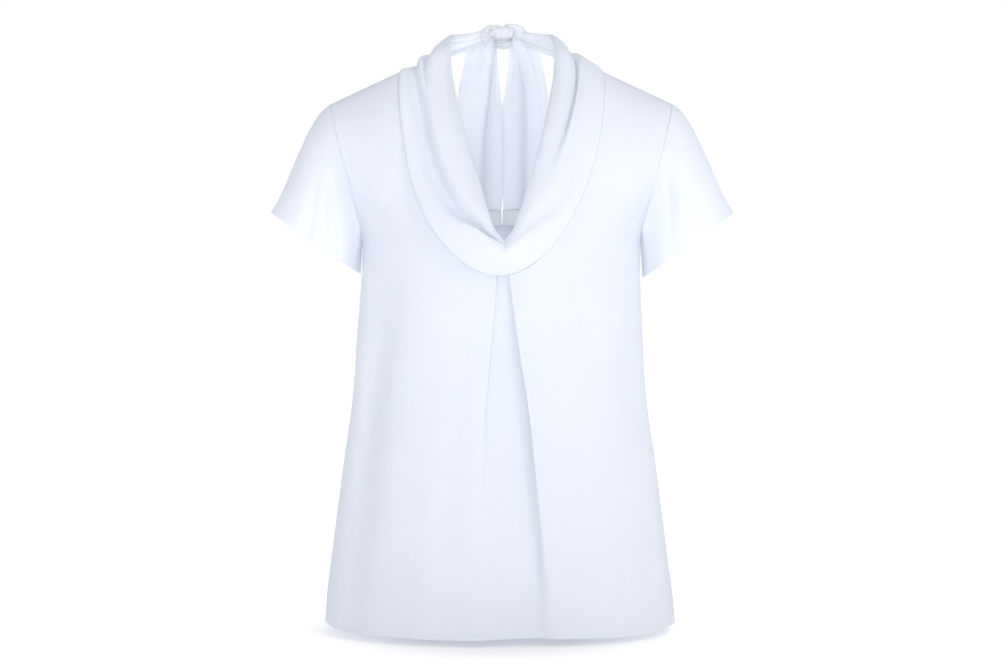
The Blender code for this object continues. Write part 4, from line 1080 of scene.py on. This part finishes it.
# Down each end: x of its inner edge, its crease and its outer edge, how far the cloth goes back under the
# crease, how deep that fold is, and y of the crease
TAILS = {
    "left": {
        "depth": (-54, -46, -40, -35, -28, -15, 0, 15, 37, 80, 120, 152, 200, 290),
        "inner": (6, 7, 7.5, 8, 8, 7, 5.5, 3.2, -0.4, -0.6, -0.4, 1.4, 2.4, 3),
        "crease": (8, 10, 11.5, 13, 15.5, 18.5, 21.5, 23.5, 25, 25.5, 26, 26.5, 27, 28),
        "outer": (14, 25, 33, 39, 42, 45.5, 49.2, 51.8, 53.4, 54.5, 55, 55.5, 56, 57),
        "under": (0.6, 0.8, 1, 1.2, 1.6, 2, 2.5, 3, 4, 6, 7, 7, 7, 7),
        "deep": (1, 1.2, 1.5, 2, 2.6, 3.6, 5, 6, 6.8, 7.4, 7.6, 7, 5.6, 4.6),
        "y": (76, 76.5, 77, 77.5, 79, 82, 86, 90, 94.5, 101, 105.5, 108.5, 107.5, 103.5),
    },
    "right": {
        "depth": (-54, -46, -39, -32, -20, -8, 10, 28, 45, 80, 120, 152, 200, 290),
        "inner": (5, 6, 6.6, 6.4, 6, 5.2, 3.2, 0.8, -1.2, -1.4, -1.2, 1.2, 2, 2.6),
        "crease": (6.5, 7.6, 8.4, 9, 10, 11, 12.6, 14.5, 17, 20.5, 23, 25, 25.5, 26.5),
        "outer": (13, 22, 31.5, 39.5, 43, 45.6, 50, 52, 53, 53.8, 54.5, 55, 56, 57),
        "under": (0.6, 0.8, 1, 1.4, 1.8, 2, 2.6, 3.2, 4, 5, 7, 7, 7, 7),
        "deep": (1.5, 2.4, 3.2, 4, 5, 6, 7.2, 8, 8.5, 8.5, 8.5, 8, 6, 4.4),
        "y": (76, 76.5, 77, 77.5, 80, 84.6, 90.2, 94.8, 98, 103, 107.5, 109.5, 107.5, 103.5),
    },
}
TAIL_LEAN = 1.0  # both ends hang this far towards the wearer's left
# Folds of each end: shares of the way across count its section's corners, from the inner edge at 0
TAIL_FOLDS = {
    "left": by_rows("depth share height inwards outwards", {
        "inner": [
            (-38, 0.45, -1.2, 0.12, 0.1), (-10, 0.42, -1.2, 0.12, 0.12), (30, 0.4, -0.8, 0.14, 0.14),
            (90, 0.36, -0.5, 0.16, 0.16), (160, 0.34, 0, 0.16, 0.16),
        ],
        "outer": [
            (-38, 4.4, -2.2, 0.16, 0.1), (-12, 4.45, -1.8, 0.14, 0.12), (20, 4.5, -1, 0.14, 0.14),
            (60, 4.55, -0.5, 0.16, 0.18), (110, 4.55, 0, 0.2, 0.2),
        ],
    }),
    "right": by_rows("depth share height inwards outwards", {
        "inner": [
            (-38, 0.5, -0.8, 0.14, 0.12), (-10, 0.5, -0.8, 0.14, 0.12), (30, 0.48, -0.7, 0.16, 0.14),
            (90, 0.45, -0.4, 0.16, 0.16), (160, 0.45, 0, 0.16, 0.16),
        ],
        "outer": [
            (-38, 4.33, -3, 0.14, 0.07), (-20, 4.37, -3.2, 0.13, 0.07), (0, 4.45, -2.8, 0.12, 0.08),
            (25, 4.51, -1.8, 0.12, 0.1), (60, 4.57, -0.8, 0.14, 0.14), (110, 4.59, 0, 0.2, 0.2),
        ],
        "outermost": [
            (-30, 4.76, -1.2, 0.06, 0.06), (-10, 4.78, -1.4, 0.06, 0.06), (20, 4.8, -0.8, 0.07, 0.07),
            (60, 4.82, 0, 0.08, 0.08),
        ],
    }),
}
TAIL_ROWS = 150
TAIL_COLUMNS = {"inner": 36, "folded": 46, "outer": 31}  # columns of its parts, from edge to edge
TAIL_SOFT = (0.05, 0.3, 0.3, 0.4)  # of the crease, the fold under it, the valley and the lip
TAIL_EDGE = 0.6  # the inner edge hangs this far behind the crease
TAIL_VALLEY = {"past_crease": 0.6, "behind": 0.8}  # the valley beside the crease, and its lip
TAIL_LIP = {"past_crease": 4.6, "behind": 1.4, "of_deep": 0.12}
TAIL_OUTER = 0.22  # the outer edge lies this share of the fold's depth behind
# The ends are cut aslant, by so much across the tail, and the slant starts at a depth
TAIL_SLANT = {"rise": 9.0, "from_x": 3.0, "across": 54.0, "depth": 200.0, "over": 90.0}


def tail(word, side):
    """A folded end of the tie: its cross-section is a soft polyline from its inner edge to its crease,
    back under, and out to its outer edge, at each depth below the knot."""
    table = TAILS[word]
    depth = np.linspace(table["depth"][0], table["depth"][-1], TAIL_ROWS)
    row = {name: smooth(table, name, depth) for name in table if name != "depth"}
    zero = np.zeros_like(depth)
    crease_x, deep = row["crease"], row["deep"]
    corners = corner_points(
        (row["inner"], zero + TAIL_EDGE),
        (crease_x, zero),
        (crease_x - row["under"], deep),
        (crease_x + TAIL_VALLEY["past_crease"], deep + TAIL_VALLEY["behind"]),
        (crease_x + TAIL_LIP["past_crease"], TAIL_LIP["behind"] + TAIL_LIP["of_deep"] * deep),
        (row["outer"], TAIL_OUTER * deep),
    )
    columns = [np.linspace(*ends) for ends in zip((0, 1, 4), (1, 4, 5), TAIL_COLUMNS.values())]
    at = np.concatenate([columns[0], columns[1][1:], columns[2][1:]])
    section = soft_line(corners, at, np.array(TAIL_SOFT))
    lift = crease(TAIL_FOLDS[word], depth[:, None], at)
    rise, from_x, across, start, over = TAIL_SLANT.values()
    slant = rise * ((section[..., 0] - from_x) / across) * ease((depth[:, None] - start) / over)
    x = side * section[..., 0] + TAIL_LEAN
    y = row["y"][:, None] + section[..., 1] - lift
    return np.stack([x, y, -depth[:, None] + slant], axis=-1)


for word, side in (("left", 1), ("right", -1)):
    piece = cloth("tie_tail_cloth_" + word, [tail(word, side)], body_crepe)
    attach(piece, "root")
    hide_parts("tie_tail_" + word)

# --- studio --------------------------------------------------------------------------------------
# A white floor that fades into a white room, under soft light from all round. One lamp is high on the
# viewer's right, one is beside the camera and one is behind. The floor glows with painted light, none close
# to the blouse and more away from it, so that its shadow shows only under the hem.

FLOOR_Z = -0.626
AMBIENT = 0.6
LAMPS = {
    "name": ("key_light", "fill_light", "back_light"),
    "place": ((1.7, -1.9, 1.7), (-0.1, -3.2, 0.05), (0.0, 2.6, 0.9)),
    "size": (0.8, 1.2, 1.5),
    "power": (22.0, 27.0, 11.0),
}
LAMP_AIM = (0.0, 0.0, -0.25)
FLOOR_REACH = 12.0
# Metres from the blouse where each glow of the floor starts and is full, and how strong it is
NEAR_GLOW, FAR_GLOW = (0.13, 0.34, 0.48), (0.3, 1.2, 0.35)
GLOW_STRETCH = (1.25, 1, 0)  # the glows are ellipses, shorter from side to side

# Matt white board, which gives back even, shineless light, and also glows with painted light from its
# emission
glowing_floor, sweep, paint = new_material("glowing_white_sweep", Base_Color=colour("#F8F8F8"), Roughness=1.0)
paint.inputs["Specular IOR Level"].default_value = 0.0
paint.inputs["Emission Color"].default_value = (1, 1, 1, 1)
floor_place = add_node(sweep, "ShaderNodeTexCoord").outputs["Object"]
flat_place = add_node(
    sweep, "ShaderNodeVectorMath", {0: floor_place, 1: GLOW_STRETCH}, operation="MULTIPLY"
)
distance = add_node(sweep, "ShaderNodeVectorMath", {0: flat_place.outputs[0]}, operation="LENGTH")
near_glow, far_glow = (
    add_node(
        sweep,
        "ShaderNodeMapRange",
        {"Value": distance.outputs["Value"], "From Min": start, "From Max": full, "To Max": strength},
    )
    for start, full, strength in (NEAR_GLOW, FAR_GLOW)
)
glow = add_node(sweep, "ShaderNodeMath", {0: near_glow.outputs[0], 1: far_glow.outputs[0]})
# painted light: the two glows drive the floor's emission, so the board shines though it is no lamp
sweep.links.new(glow.outputs[0], paint.inputs["Emission Strength"])
floor_corners = FLOOR_REACH * np.array([(-1, -1, 0), (1, -1, 0), (1, 1, 0), (-1, 1, 0)])
floor = new_piece("floor", floor_corners + (0, 0, FLOOR_Z), np.array([(0, 1, 2, 3)]), glowing_floor)

world = bpy.data.worlds.new("studio")
bpy.context.scene.world = world
world.use_nodes = True
sky = world.node_tree
seen = add_node(sky, "ShaderNodeLightPath").outputs["Is Camera Ray"]
brightness = add_node(sky, "ShaderNodeMapRange", {"Value": seen, "To Min": AMBIENT, "To Max": 1.0})
sky.nodes["Background"].inputs["Color"].default_value = (1, 1, 1, 1)
sky.links.new(brightness.outputs[0], sky.nodes["Background"].inputs["Strength"])

for name, place, size, power in zip(*LAMPS.values()):
    lamp = bpy.data.objects.new(name, bpy.data.lights.new(name, "AREA"))
    bpy.context.scene.collection.objects.link(lamp)
    lamp.data.shape = "DISK"
    lamp.data.size = size
    lamp.data.energy = power
    lamp.location = place
    aim = unit(np.array(LAMP_AIM) - np.array(place))
    lamp.rotation_euler = (math.acos(-aim[2]), 0, math.atan2(aim[0], -aim[1]) + math.pi)
bpy.context.scene.view_settings.view_transform = "Standard"
